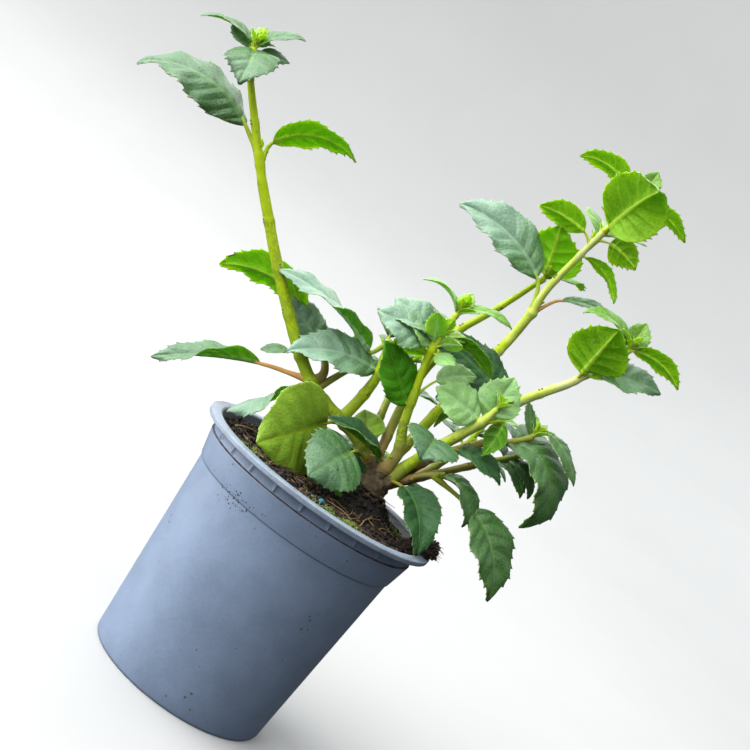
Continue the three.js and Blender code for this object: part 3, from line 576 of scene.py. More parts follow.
RIB = {
    "mature": (0.150, 0.290, 0.080),
    "pale": (0.270, 0.430, 0.200),
    # Their midribs are whitened the same way, partly by painted sky reflection.
    "frost": (0.300, 0.470, 0.280),
    "fresh": (0.310, 0.470, 0.030),
    "bright": (0.380, 0.580, 0.050),
    "deep": (0.110, 0.270, 0.020),
    "dark": (0.080, 0.190, 0.035),
    "shade": (0.120, 0.250, 0.050),
    "olive": (0.280, 0.380, 0.015),
    "young": (0.420, 0.600, 0.040),
}
# How far each kind of leaf face goes from the blade's colour towards the midrib's.
RIB_SHARE = {
    "upper": 0.0,
    "veinupper": 0.16,
    "ribupper": 0.5,
    "under": 0.0,
    "veinunder": 0.5,
    "rib": 1.0,
}
STALK_COLOUR = {
    "mature": (0.310, 0.410, 0.030),
    "pale": (0.370, 0.520, 0.050),
    "frost": (0.330, 0.460, 0.060),
    "fresh": (0.340, 0.510, 0.015),
    "bright": (0.420, 0.490, 0.030),
    "deep": (0.200, 0.320, 0.010),
    "dark": (0.230, 0.230, 0.025),
    "shade": (0.240, 0.290, 0.025),
    "olive": (0.350, 0.350, 0.020),
    "young": (0.300, 0.480, 0.030),
    "red": (0.600, 0.320, 0.115),
}
EDGE_COLOUR = (0.420, 0.520, 0.180)
# The net of the finest veins: its cells in mm, how far it goes towards the midrib's colour,
# its line's share of a cell, and how far it is sunk above and raised underneath.
NET = {"size": 1.9, "share": 0.22, "line": 0.16, "depth": {"upper": 0.6, "under": -0.6}}
OTHER_COLOURS = {
    "crumb_black": (0.006, 0.004, 0.003),
    "crumb_brown": (0.022, 0.011, 0.006),
    "crumb_tan": (0.110, 0.060, 0.028),
    "fibre_tan": (0.215, 0.125, 0.055),
    "fibre_brown": (0.080, 0.040, 0.016),
    "scorch": (0.260, 0.130, 0.045),
    "pot_wall": (0.165, 0.216, 0.310),
    "pot_lip": (0.225, 0.270, 0.340),
    # Inner wall: the same plastic, darkened as painted shade.
    "pot_inside": (0.060, 0.066, 0.092),
    "backdrop": (0.46, 0.46, 0.455),
}
# Deep, middle and light tone of what has a mixed colour.
TONES = {
    "drop": ((0.85, 0.95, 0.90), (0.92, 0.98, 0.95), (0.97, 1.00, 1.00)),
    "bark": ((0.030, 0.018, 0.009), (0.085, 0.056, 0.026), (0.190, 0.140, 0.062)),
    "scar": ((0.10, 0.05, 0.025), (0.20, 0.11, 0.05), (0.34, 0.22, 0.10)),
    "soil": ((0.003, 0.002, 0.0015), (0.009, 0.006, 0.004), (0.034, 0.019, 0.010)),
    "moss": ((0.05, 0.09, 0.01), (0.12, 0.19, 0.02), (0.26, 0.33, 0.05)),
    "grain": ((0.00, 0.07, 0.13), (0.00, 0.12, 0.22), (0.01, 0.20, 0.30)),
    # A darker line along the foot of the groove under the lip.
    "pot_seam": ((0.020, 0.016, 0.018), (0.050, 0.042, 0.048), (0.120, 0.120, 0.140)),
}
# Upper faces have a waxy bloom; the yellow-green of undersides and stems is hardly whitened.
LEAF_TOP = {
    "Subsurface_Weight": 0.1,
    "Subsurface_Scale": 0.0007,
    "Specular_IOR_Level": 0.6,
    "Sheen_Weight": 0.09,
    "Sheen_Roughness": 0.45,
    "Sheen_Tint": (0.82, 0.93, 1.0, 1.0),
}
# The shaded, older leaves have lost most of their bloom.
LEAF_DULL = {**LEAF_TOP, "Specular_IOR_Level": 0.16, "Sheen_Weight": 0.0}
DULL_LOOKS = ("dark", "deep", "olive")
# Painted sky reflection: upper faces are painted lighter and bluer away from the stalk, as the
# outer part of a leaf faces the sky, in steps from side vein to side vein: bare colour of each
# look that shows this, share of the blade that it takes, and how many steps.
PAINTED_SKY_SHEEN = {
    "bare": {"frost": (0.058, 0.175, 0.030), "mature": (0.030, 0.122, 0.012)},
    "reach": 0.56,
    "steps": 3,
}
LEAF_UNDER = {
    "Subsurface_Weight": 0.7,
    "Subsurface_Scale": 0.0015,
    "Subsurface_Radius": (0.8, 1.0, 0.15),
    "Specular_IOR_Level": 0.3,
    "Specular_Tint": (0.85, 1.0, 0.45, 1.0),
}
STEM_SKIN = {
    "Subsurface_Weight": 0.12,
    "Subsurface_Scale": 0.001,
    "Specular_IOR_Level": 0.28,
    "Specular_Tint": (1.0, 1.0, 0.3, 1.0),
}
# Finishes by kind: sizes in mm of the two patterns that mix the tones, roughness, height in mm
# of the bumps, and how far the tones lie from the colour, which is 0 where TONES gives them.
FINISHES = {
    "upper": (6.0, 0.5, (0.36, 0.50), 0.17, 0.2),
    "veinupper": (5.0, 0.7, (0.36, 0.46), 0.05, 0.12),
    "ribupper": (5.0, 0.7, (0.38, 0.48), 0.05, 0.12),
    "under": (6.0, 0.6, (0.46, 0.60), 0.15, 0.12),
    "veinunder": (5.0, 0.7, (0.46, 0.55), 0.05, 0.12),
    "rib": (5.0, 0.7, (0.42, 0.52), 0.05, 0.12),
    "edge": (4.0, 0.6, (0.42, 0.56), 0.05, 0.2),
    "stalk": (6.0, 0.5, (0.38, 0.50), 0.05, 0.12),
    "stem": (6.0, 0.45, (0.36, 0.50), 0.05, 0.1),
    "crumb": (1.0, 0.3, (0.75, 0.95), 0.15, 0.5),
    "fibre": (2.0, 0.3, (0.60, 0.80), 0.06, 0.3),
    "scorch": (1.0, 0.3, (0.60, 0.80), 0.2, 0.4),
    "drop": (2.0, 0.3, (0.02, 0.05), 0.01, 0.0),
    "bark": (1.8, 0.3, (0.65, 0.85), 0.5, 0.0),
    "scar": (0.8, 0.2, (0.60, 0.80), 0.1, 0.0),
    "soil": (2.2, 0.35, (0.70, 0.95), 0.7, 0.0),
    "moss": (1.5, 0.3, (0.60, 0.80), 0.08, 0.0),
    "grain": (0.8, 0.2, (0.35, 0.50), 0.05, 0.0),
    "pot_wall": (14.0, 1.1, (0.34, 0.52), 0.03, 0.11),
    "pot_lip": (14.0, 1.1, (0.34, 0.52), 0.09, 0.26),
    "pot_inside": (14.0, 1.1, (0.34, 0.52), 0.03, 0.11),
    "pot_seam": (2.5, 0.4, (0.60, 0.80), 0.05, 0.0),
    "backdrop": (400.0, 60.0, (0.85, 0.95), 0.0, 0.02),
}
# How much redder the light tone of a stalk is than its colour.
STALK_WARMTH = 0.1
PLASTIC = {"Specular_IOR_Level": 0.5}
SKINS = {
    "under": LEAF_UNDER,
    "veinunder": LEAF_UNDER,
    "rib": LEAF_UNDER,
    "stalk": STEM_SKIN,
    "stem": STEM_SKIN,
    "drop": {"Transmission_Weight": 0.9, "IOR": 1.33},
    "pot_wall": PLASTIC,
    "pot_lip": PLASTIC,
    "pot_inside": PLASTIC,
}
# Marks of soil on the pot: sizes in mm of a mark and of the patches that they lie in, the
# range of patchiness that has them, their widest reach, and how strongly they colour.
SOIL_MARKS = {
    "size": 2.6,
    "patch": 11.0,
    "from": (0.52, 0.75),
    "reach": 0.26,
    "strength": 0.75,
    "colour": (0.075, 0.05, 0.04),
}


# Vectors and runs

def unit(vector):
    """The vector, or each of many, at length one."""
    return vector / np.linalg.norm(vector, axis=-1, keepdims=True)


def direction(heading, rise):
    """A vector of length one that points to a heading, at a rise from level, in degrees."""
    turn = math.radians(heading)
    lift = math.radians(rise)
    return np.array([math.cos(lift) * math.cos(turn), math.cos(lift) * math.sin(turn), math.sin(lift)])


def way_point(way, t):
    """A smooth run through the places of a way, at t from 0 to 1."""
    places = [np.array(place, float) for place in way]
    spans = len(places) - 1
    span = min(int(t * spans), spans - 1)
    u = t * spans - span
    start, end = places[span], places[span + 1]
    before = places[span - 1] if span > 0 else 2 * start - end
    after = places[span + 2] if span + 2 <= spans else 2 * end - start
    return (
        before * (-u + 2 * u * u - u ** 3)
        + start * (2 - 5 * u * u + 3 * u ** 3)
        + end * (u + 4 * u * u - 3 * u ** 3)
        + after * (-u * u + u ** 3)
    ) / 2


def way_run(way, step):
    """Points along a way, about a step apart, and how far along each one is, 0 to 1."""
    sketch = np.array([way_point(way, t) for t in np.linspace(0, 1, 60)])
    length = np.linalg.norm(np.diff(sketch, axis=0), axis=1).sum()
    shares = np.linspace(0, 1, max(int(length / step), 4))
    return np.array([way_point(way, t) for t in shares]), shares


def bezier(start, first, second, end, count):
    """Points along a curve that is drawn towards two places between its ends."""
    t = np.linspace(0, 1, count)[:, None]
    return (
        start * (1 - t) ** 3
        + first * 3 * t * (1 - t) ** 2
        + second * 3 * t * t * (1 - t)
        + end * t ** 3
    )


def smoothed(values, passes):
    """A run of values, or points, evened out with its ends kept."""
    out = np.array(values, float)
    for _ in range(passes):
        out[1:-1] = (out[:-2] + 2 * out[1:-1] + out[2:]) / 4
    return out


# Pieces: meshes gathered from many parts

class Piece:
    """One mesh object: points in millimetres, faces, and a material name for each face."""

    def __init__(self, name):
        self.name = name
        self.points = []
        self.faces = []
        self.finishes = []
        self.count = 0

    def add(self, points, faces, finishes):
        """faces hold indices into points; finishes is one name, or one for each face."""
        points = np.asarray(points, float)
        self.points.append(points)
        self.faces.extend([[index + self.count for index in face] for face in faces])
        self.finishes.extend([finishes] * len(faces) if isinstance(finishes, str) else finishes)
        self.count += len(points)

    def build(self, slot, replaced=()):
        """Makes the object, rides it on the plant's one body and hides what it stands for."""
        thing = new_object(self.name, np.concatenate(self.points) * MM, self.faces)
        mesh = thing.data
        names = sorted(set(self.finishes))
        for name in names:
            mesh.materials.append(finish(name))
        order = {name: index for index, name in enumerate(names)}
        mesh.polygons.foreach_set("material_index", [order[name] for name in self.finishes])
        mesh.polygons.foreach_set("use_smooth", [True] * len(mesh.polygons))
        mesh.validate()
        mesh.update()
        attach(thing, "root")
        if replaced:
            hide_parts(*replaced)
        return thing


def new_object(name, points, faces):
    """A mesh object in the scene, from points in metres."""
    mesh = bpy.data.meshes.new(name)
    mesh.from_pydata(np.asarray(points, float).tolist(), [], faces)
    thing = bpy.data.objects.new(name, mesh)
    bpy.context.scene.collection.objects.link(thing)
    return thing


def ring_faces(rings, sides):
    """Faces between neighbouring rings of points, ring by ring."""
    faces = []
    for ring in range(rings - 1):
        for side in range(sides):
            a = ring * sides + side
            b = ring * sides + (side + 1) % sides
            faces.append([a, b, b + sides, a + sides])
    return faces


def fan(sides, first, pole):
    """Faces from a point, the pole, to a ring of points that starts at first."""
    return [[first + (side + 1) % sides, first + side, pole] for side in range(sides)]


def dish_faces(rings, sides):
    """Faces that look up: a point in the middle, then rings outwards."""
    faces = [[0, 1 + side, 1 + (side + 1) % sides] for side in range(sides)]
    for face in ring_faces(rings, sides):
        a, b, c, d = (index + 1 for index in face)
        faces.append([a, d, c, b])
    return faces


def crossings(points):
    """At each point of a run: its direction, and two directions across it with little twist."""
    along = unit(np.gradient(points, axis=0))
    across = np.zeros_like(along)
    start = ACROSS if abs(along[0][2]) > abs(along[0][0]) else UP
    across[0] = unit(np.cross(start, along[0]))
    for i in range(1, len(points)):
        flat = across[i - 1] - along[i] * (across[i - 1] @ along[i])
        across[i] = unit(flat)
    return along, across, np.cross(along, across)


def tube(points, radii, sides, relief=None):
    """A closed tube round a run; relief is added to the radius at each ring and side."""
    along, across, other = crossings(points)
    turns = np.linspace(0, 2 * math.pi, sides, endpoint=False)
    reach = np.repeat(np.asarray(radii, float)[:, None], sides, axis=1)
    if relief is not None:
        reach = reach + relief(turns)
    rings = (
        points[:, None, :]
        + across[:, None, :] * (reach * np.cos(turns))[:, :, None]
        + other[:, None, :] * (reach * np.sin(turns))[:, :, None]
    )
    foot = points[0] - along[0] * radii[0] * 0.5
    tip = points[-1] + along[-1] * radii[-1] * 0.6
    corners = len(points) * sides
    verts = np.concatenate([rings.reshape(-1, 3), [foot, tip]])
    faces = ring_faces(len(points), sides) + fan(sides, 0, corners)
    faces += [face[::-1] for face in fan(sides, corners - sides, corners + 1)]
    return verts, faces


# Leaves

def read_leaf(row):
    """A leaf's row of numbers as named values."""
    names = ("at", "heading", "rise", "stalk", "stalk_rise", "length", "width", "droop",
             "roll_base", "roll_tip", "fold_base", "fold_tip", "look")
    return dict(zip(names, row))


def midrib(leaf, base, s):
    """Where the midrib is at s, from 0 at the blade's base to 1 at its tip: one even bend."""
    rise = math.radians(leaf["rise"])
    bend = math.radians(leaf["droop"] if abs(leaf["droop"]) >= 1 else 1)
    level = leaf["length"] * (math.sin(rise) - np.sin(rise - bend * s)) / bend
    lift = leaf["length"] * (np.cos(rise - bend * s) - math.cos(rise)) / bend
    turn = math.radians(leaf["heading"])
    return base + np.stack([level * math.cos(turn), level * math.sin(turn), lift], axis=-1)


def half_width(leaf, s):
    """Half of the blade's width at each s: round blades are full at the base."""
    share = (leaf["width"] / leaf["length"] - ROUND["from"]) / (ROUND["to"] - ROUND["from"])
    share = min(max(share, 0.0), 1.0)
    base = WIDEST["base"] + (WIDEST["round_base"] - WIDEST["base"]) * share * share * (3 - 2 * share)
    widest = base / (base + WIDEST["tip"])
    peak = widest ** base * (1 - widest) ** WIDEST["tip"]
    return leaf["width"] / 2 * s ** base * (1 - s) ** WIDEST["tip"] / peak


def blade_frame(leaf, s):
    """At each s: the way along the blade, its left side and the way its upper face looks."""
    rise = np.radians(leaf["rise"] - leaf["droop"] * s)
    turn = math.radians(leaf["heading"])
    flat = np.array([math.cos(turn), math.sin(turn), 0])
    level = np.array([-math.sin(turn), math.cos(turn), 0])
    along = np.cos(rise)[..., None] * flat + np.sin(rise)[..., None] * UP
    upright = np.cross(along, level)
    roll = np.radians(leaf["roll_base"] + (leaf["roll_tip"] - leaf["roll_base"]) * s)
    left = np.cos(roll)[..., None] * level + np.sin(roll)[..., None] * upright
    face = np.cos(roll)[..., None] * upright - np.sin(roll)[..., None] * level
    return along, left, face


def tooth_rows(leaf):
    """Where rows of points meet the margin, with each one's height on its tooth."""
    pitch = TOOTH_PITCH[0] + TOOTH_PITCH[1] * leaf["length"]
    teeth = int(np.clip(round(leaf["length"] / pitch), 4, 15))
    places = []
    heights = []
    for tooth in range(teeth):
        for phase, height in zip(TOOTH_PHASES, TOOTH_HEIGHTS):
            places.append((tooth + phase) / teeth)
            heights.append(height)
    places[0] = 0.3 / (teeth * leaf["length"])
    return teeth, np.array(places), np.array(heights)


# What lies on the blades: kind, place and radius, as each blade is made.
settled = []


def blade_relief(leaf, size, lines, margin, s, v, side, reach):
    """How far each point of a blade is lifted: quilting between the lines of the veins, a sunk
    midrib and a wavy margin that curls under, and beside it some small unevenness."""
    between = np.interp(margin, lines, np.arange(len(lines)))[:, None] % 1.0
    quilt = RELIEF["quilt"] * size * np.sin(math.pi * between) ** 1.2
    quilt = quilt * np.minimum(1, v / 0.2) * (1 - v ** 3)
    trough = RELIEF["trough"] * size * np.exp(-((reach / (RELIEF["trough_width"] * size)) ** 2))
    shift = chance.uniform(0, 2 * math.pi, 2)
    starts = np.where(side >= 0, shift[0], shift[1])
    turns = 2 * math.pi * leaf["length"] / RELIEF["wave_length"]
    wave = RELIEF["wave"] * size * np.sin(turns * s + starts) * v ** 2 * np.sqrt(s * (1 - s)) * 2
    curl = -RELIEF["curl"] * size * v ** 4
    lift = quilt - trough + wave + curl
    return lift, chance.normal(0, RELIEF["uneven"], lift.shape) * min(1, size / 16)


def tooth_sizes(leaf, teeth, margin):
    """The depth of the teeth at each row of points, on the right margin and on the left one."""
    depth = TOOTH_DEPTH * SMOOTH_MARGIN.get(leaf["look"], 1.0) * min(1, 0.2 + leaf["length"] / 32)
    depth = depth * np.clip(np.sin(math.pi * margin) * 2.2, 0, 1)
    jitter = chance.uniform(0.4, 1.3, (teeth, 2))
    return depth[:, None] * np.repeat(jitter, len(TOOTH_PHASES), axis=0)


def blade(piece, leaf, base):
    """A toothed, veined and quilted blade as one closed mesh."""
    # Rows of points run from the midrib, at s = at, along the side veins to the margin
    teeth, margin, heights = tooth_rows(leaf)
    sweep = VEIN_SWEEP
    at = ((1 + sweep) - np.sqrt((1 + sweep) ** 2 - 4 * sweep * margin)) / (2 * sweep)
    steps = COLUMNS if leaf["length"] > LITTLE_LEAF else LITTLE_COLUMNS
    fractions = np.concatenate([-np.array(steps[:0:-1]), steps])
    middle = len(steps) - 1
    u = np.abs(fractions)[None, :]
    side = np.sign(fractions)[None, :]
    s = at[:, None] + sweep * u ** 1.3 * (at * (1 - at))[:, None]

    # The first column beside the midrib ends its strip; v is each point's share of half a blade
    along, left, face = blade_frame(leaf, s)
    half = half_width(leaf, s)
    strip = RIB_STRIP["share"] * leaf["width"] ** RIB_STRIP["power"] * (RIB_STRIP["taper"] - s)
    strip = np.minimum(RIB_STRIP["most"], strip / np.maximum(half, 0.05))
    first = steps[1]
    v = np.where(u <= first, u / first * strip, strip + (1 - strip) * (u - first) / (1 - first))
    fold = np.radians(leaf["fold_base"] + (leaf["fold_tip"] - leaf["fold_base"]) * s)
    reach = half * v
    points = midrib(leaf, base, s) + left * (side * reach * np.cos(fold))[..., None]
    points = points + face * (reach * np.sin(fold) * (1.3 - 0.3 * v))[..., None]
    normal = face * np.cos(fold)[..., None] - left * (side * np.sin(fold))[..., None]

    # Relief, with a side vein to every other tooth
    size = min(leaf["width"], WIDEST_QUILT)
    veins = np.arange(1, teeth - 1, 2)
    lines = np.concatenate([[0.0], (veins + TOOTH_PHASES[-1]) / teeth, [1.0]])
    lift, uneven = blade_relief(leaf, size, lines, margin, s, v, side, reach)
    points = points + normal * (lift + uneven)[..., None]

    # Teeth point outwards and forwards
    depth = tooth_sizes(leaf, teeth, margin)
    for edge, (column, nearer) in enumerate(((0, 1), (-1, -2))):
        out = (heights - TOOTH_SHAPE["notch"]) * depth[:, edge]
        ahead = heights * depth[:, edge] * TOOTH_SHAPE["forward"]
        away = left[:, column] * (side[0, column] * np.cos(fold[:, column]))[:, None]
        push = away * out[:, None] + along[:, column] * ahead[:, None]
        points[:, column] += push
        points[:, nearer] += push * TOOTH_SHAPE["pull"]

    # Upper and lower points
    thin = LAMINA * min(1, 0.55 + size / 40) * (1 - 0.55 * v ** 4)
    ridge = np.zeros_like(s)
    ridge[:, middle] = RELIEF["midrib"] * size * (1.1 - s[:, middle])
    vein_rows = np.zeros(len(margin), bool)
    for phase in (2, 3):
        vein_rows[veins * len(TOOTH_PHASES) + phase] = True
    ridge += vein_rows[:, None] * RELIEF["vein"] * size * (1 - v) * (u > 0)
    top = points + normal * (thin / 2)[..., None]
    under = points - normal * (thin / 2 + ridge)[..., None]
    for kind, share, across, radius in leaf.get("bits", ()):
        row = int(np.argmin(np.abs(at - share)))
        column = int(np.argmin(np.abs(fractions - across)))
        settled.append((kind, top[row, column], radius))
    tip = midrib(leaf, base, np.array(1.0)) + face[-1, middle] * lift[-1, middle]
    root = base - along[0, middle] * 0.2
    verts = np.concatenate([top.reshape(-1, 3), under.reshape(-1, 3), [tip, root]])
    piece.add(verts, *blade_faces(leaf, at, s, fractions, vein_rows))


def upper_name(leaf, at):
    """The look of an upper face, with its step of painted sky reflection where the leaf's look has one.
    """
    look = leaf["look"]
    if look in PAINTED_SKY_SHEEN["bare"] and at < PAINTED_SKY_SHEEN["reach"] and leaf["length"] > LITTLE_LEAF:
        return "%s.%d" % (look, int(at / PAINTED_SKY_SHEEN["reach"] * PAINTED_SKY_SHEEN["steps"]))
    return look


def blade_faces(leaf, at, s, fractions, vein_rows):
    """The closed skin of a blade, and a finish for each face, over the upper grid of points,
    the lower grid, the tip and the root."""
    look = leaf["look"]
    rows, columns = s.shape
    middle = columns // 2
    grid = rows * columns
    tip, root = 2 * grid, 2 * grid + 1
    faces = []
    finishes = []
    for row in range(rows - 1):
        above = upper_name(leaf, at[row])
        for column in range(columns - 1):
            a = row * columns + column
            corners = [a, a + 1, a + columns + 1, a + columns]
            upper, lower = "upper_" + above, "under_" + look
            if scorched(leaf, s[row, column], fractions[column]):
                upper, lower = "scorch", "scorch"
            elif column in (middle - 1, middle):
                upper, lower = "ribupper_" + above, "rib_" + look
            elif column in (0, columns - 2):
                if row % len(TOOTH_PHASES) == 2:
                    upper = "edge_" + look
            elif vein_rows[row] and vein_rows[row + 1]:
                upper, lower = "veinupper_" + above, "veinunder_" + look
            faces.append(corners[::-1])
            faces.append([index + grid for index in corners])
            finishes.extend([upper, lower])
    for row in range(rows - 1):
        a = row * columns
        b = a + columns - 1
        faces.append([a, a + grid, a + columns + grid, a + columns])
        faces.append([b, b + columns, b + columns + grid, b + grid])
        finishes.extend(["edge_" + look] * 2)
    last = (rows - 1) * columns
    for column in range(columns - 1):
        faces.append([tip, last + column + 1, last + column])
        faces.append([last + column + grid, last + column + 1 + grid, tip])
        faces.append([column, column + 1, root])
        faces.append([root, column + 1 + grid, column + grid])
        finishes.extend(["upper_" + look, "under_" + look, "rib_" + look, "rib_" + look])
    for a, pole, turned in ((0, root, False), (last, tip, True)):
        for column in (0, columns - 1):
            corners = [a + column, a + column + grid, pole]
            faces.append(corners if turned == (column == 0) else corners[::-1])
            finishes.append("edge_" + look)
    return faces, finishes


def scorched(leaf, s, across):
    """True inside the brown, dried spots that a few leaves have."""
    for at, side, size in leaf.get("spots", ()):
        if math.hypot((s - at) * leaf["length"], (across - side) * leaf["width"] / 2) < size:
            return True
    return False


def stalk(piece, leaf, root, base):
    """The leaf's stalk, which runs on as the start of the midrib."""
    start = direction(leaf["heading"], leaf["stalk_rise"])
    along = direction(leaf["heading"], leaf["rise"])
    run = bezier(root, root + start * leaf["stalk"] * 0.45, base - along * leaf["stalk"] * 0.3, base, 9)
    sunk = midrib(leaf, base, np.array([0.03, 0.07]))
    points = np.concatenate([run, sunk])
    radius = min(1.0, 0.25 + leaf["length"] * 0.019)
    shares = np.linspace(0, 1, len(points))
    radii = radius * (1 - 0.35 * shares + 0.6 * np.exp(-((shares / 0.16) ** 2)))
    radii[-2:] *= (0.7, 0.4)
    verts, faces = tube(points, radii, 10)
    piece.add(verts, faces, "stalk_" + leaf.get("stalk_look", leaf["look"]))


def leaf_on(piece, buds, way, row, key):
    """A leaf on its stalk, at its place along a way, with buds in the axil of a larger one."""
    leaf = read_leaf(row)
    leaf["spots"] = SPOTS.get(key, ())
    leaf["bits"] = BITS.get(key, ())
    leaf["stalk_look"] = RED_STALKS.get(key, leaf["look"])
    root = way_point(way, leaf["at"])
    base = root + direction(leaf["heading"], leaf["stalk_rise"]) * leaf["stalk"]
    stalk(piece, leaf, root, base)
    blade(piece, leaf, base)
    if leaf["length"] > BUDDED["length"] and leaf["stalk"] > BUDDED["stalk"]:
        axil_bud(buds, leaf, root)


def little_leaf(piece, root, heading, rise, length):
    """A leaf that has hardly opened."""
    leaf = {
        "heading": heading, "rise": rise, "stalk": 0.6, "stalk_rise": rise, "length": length,
        "width": length * 0.5, "droop": chance.uniform(5, 40), "roll_base": 0, "roll_tip": 0,
        "fold_base": 45, "fold_tip": 25, "look": "young",
    }
    base = root + direction(heading, rise) * leaf["stalk"]
    stalk(piece, leaf, root, base)
    blade(piece, leaf, base)


def axil_bud(piece, leaf, root):
    """A pair of tiny leaves between a leaf's stalk and its stem."""
    start = root + direction(leaf["heading"], leaf["stalk_rise"] + 25) * 1.6
    for turn in (-60, 70):
        length = chance.uniform(2.6, 4.6)
        little_leaf(piece, start, leaf["heading"] + turn, leaf["stalk_rise"] * 0.4 + 50, length)


def shoot_tip(piece, way):
    """The nested young leaves that end a shoot."""
    tip = way_point(way, 1.0)
    heading = chance.uniform(0, 180)
    for layer, (rise, length) in enumerate(TIP_LAYERS):
        for opposite in (0, 180):
            turn = heading + 90 * layer + opposite
            start = tip + UP * 0.5 * layer
            little_leaf(piece, start, turn, rise, length * chance.uniform(0.85, 1.15))


# Stems

def nearest_on(way, point):
    """The place on a way that is nearest to a point."""
    run, _ = way_run(way, 1.0)
    return run[np.argmin(np.linalg.norm(run - point, axis=1))]


def node_places(way, rows):
    """Where the larger of some leaves stand on a way."""
    return [way_point(way, row[0]) for row in rows if row[5] > NODE_LEAF]


def swelling(kind, reach, gap):
    """How much thicker a stem is, at each gap from the middle of a node."""
    share, width = SWELLING[kind]
    return share * reach * np.exp(-((gap / width) ** 2))


def stem_relief(length, nodes):
    """Swellings at the nodes, four soft ridges and small unevenness."""
    shift = chance.uniform(0, 2 * math.pi, 3)

    def relief(turns):
        spread = np.linspace(0, length, len(nodes))[:, None]
        ridges = 0.04 * np.cos(4 * turns[None, :] + shift[0] + spread / 25)
        uneven = 0.035 * np.sin(spread / 1.9 + shift[1]) * np.sin(3 * turns[None, :] + shift[2])
        return nodes[:, None] + ridges + uneven

    return relief


def shade_faces(points, shades, closing):
    """A finish for each face of a stem, from one shade to another in soft blotches. Near the
    crown it is woodier. closing: how many faces close its ends."""
    rings = len(points)
    top_shade = len(STEM_SHADES) - 1
    level = np.linspace(shades[0], shades[1], rings - 1)[:, None]
    turns = np.linspace(0, 2 * math.pi, STEM_SIDES, endpoint=False)[None, :]
    along = np.arange(rings - 1)[:, None] * STEM_STEP
    crown = nearest_on(LIMBS["crown"]["way"], points[0])
    if np.linalg.norm(points[0] - crown) < WOODY_FOOT["nearer_than"]:
        level = level - WOODY_FOOT["darker"] * np.exp(-((along / WOODY_FOOT["reach"]) ** 2))
    shift = chance.uniform(0, 2 * math.pi, 2)
    blotch = STEM_PATTERN["blotch"] * np.sin(along / 4.3 + shift[0]) * np.cos(turns + shift[1])
    blotch = blotch + STEM_PATTERN["bands"] * np.sin(along / 1.7)
    grain = chance.normal(0, STEM_PATTERN["grain"], (rings - 1, STEM_SIDES))
    index = np.clip(np.round(level + blotch + grain), 0, top_shade).astype(int)
    names = ["stem_%d" % value for value in index.ravel()]
    first = "stem_%d" % int(np.clip(round(shades[0]), 0, top_shade))
    return names + [first] * closing


def scar(piece, centre, outward, along, size, look):
    """A small oval lump: a leaf scar or a resting bud."""
    side = np.cross(along, outward)
    rings = 4
    sides = 8
    points = []
    for ring in range(rings):
        lift = math.pi / 2 * ring / rings
        for turn in np.linspace(0, 2 * math.pi, sides, endpoint=False):
            flat = side * math.cos(turn) * size[0] + along * math.sin(turn) * size[1]
            points.append(centre + flat * math.cos(lift) + outward * size[2] * math.sin(lift))
    points.append(centre + outward * size[2])
    faces = [face[::-1] for face in ring_faces(rings, sides)]
    faces += fan(sides, (rings - 1) * sides, rings * sides)
    faces.append(list(range(sides)))
    piece.add(np.array(points), faces, look)


def stem(piece, marks, ways, radii, leafy, shades):
    """One continuous stem along several joined ways. leafy: the places of its leafy nodes."""
    runs = []
    sizes = []
    for way, ends in zip(ways, radii):
        run, shares = way_run(way, STEM_STEP)
        runs.append(run)
        sizes.append(ends[0] + (ends[1] - ends[0]) * shares)
    points = smoothed(np.concatenate(runs), 4)
    reach = smoothed(np.concatenate(sizes), 6)
    steps = np.linalg.norm(np.diff(points, axis=0), axis=1)
    length = steps.sum()
    travelled = np.concatenate([[0], np.cumsum(steps)])
    nodes = np.zeros(len(points))
    for place in leafy:
        nodes += swelling("leafy", reach, np.linalg.norm(points - place, axis=1))
    along, across, other = crossings(points)
    clear = BARE_NODES["clear"]
    bare = np.arange(BARE_NODES["first"], length - clear, BARE_NODES["spacing"])
    for i, distance in enumerate(bare):
        near = int(np.searchsorted(travelled, distance))
        if any(np.linalg.norm(points[near] - place) < clear for place in leafy):
            continue
        nodes += swelling("bare", reach, travelled - distance)
        turn = math.radians(90 * (i % 2) + 35)
        for flip in (0, math.pi):
            away = across[near] * math.cos(turn + flip) + other[near] * math.sin(turn + flip)
            spot = points[near] + away * reach[near] * 0.92
            above = spot + along[near] * 0.95
            scar(marks, spot, away, along[near], SCAR_SIZE, "scar")
            scar(marks, above, unit(away + along[near] * 0.5), along[near], REST_BUD_SIZE, "stem_4")
    verts, faces = tube(points, reach, STEM_SIDES, stem_relief(length, nodes))
    piece.add(verts, faces, shade_faces(points, shades, 2 * STEM_SIDES))


# Compost and pot

def compost_height(x, y):
    """The compost's top, as in the solids."""
    crown = LIMBS["crown"]["way"][0]
    away = np.hypot(x - crown[0], y - crown[1]) / COMPOST["mound_radius"]
    mound = COMPOST["mound_height"] * np.exp(-3 * away ** 4)
    turn = 2 * math.pi / COMPOST["lump_pitch"]
    lumps = np.sin(turn * x + 1) * np.sin(turn * y) + np.sin(2 * turn * (x - y))
    return COMPOST["level"] + mound + COMPOST["lump_height"] * lumps


def rough(point, size, seed=0.0):
    """Unevenness of about -1 to 1 that repeats nowhere, with features about size across."""
    place = (point[0] / size + seed, point[1] / size, point[2] / size)
    return noise.fractal(Vector(place), 0.9, 2.0, 4)


def inside_wall(gap):
    """The radius at a gap from the pot's inner wall, at the compost's level."""
    return POT["groove_radius"] - POT["wall"] - gap


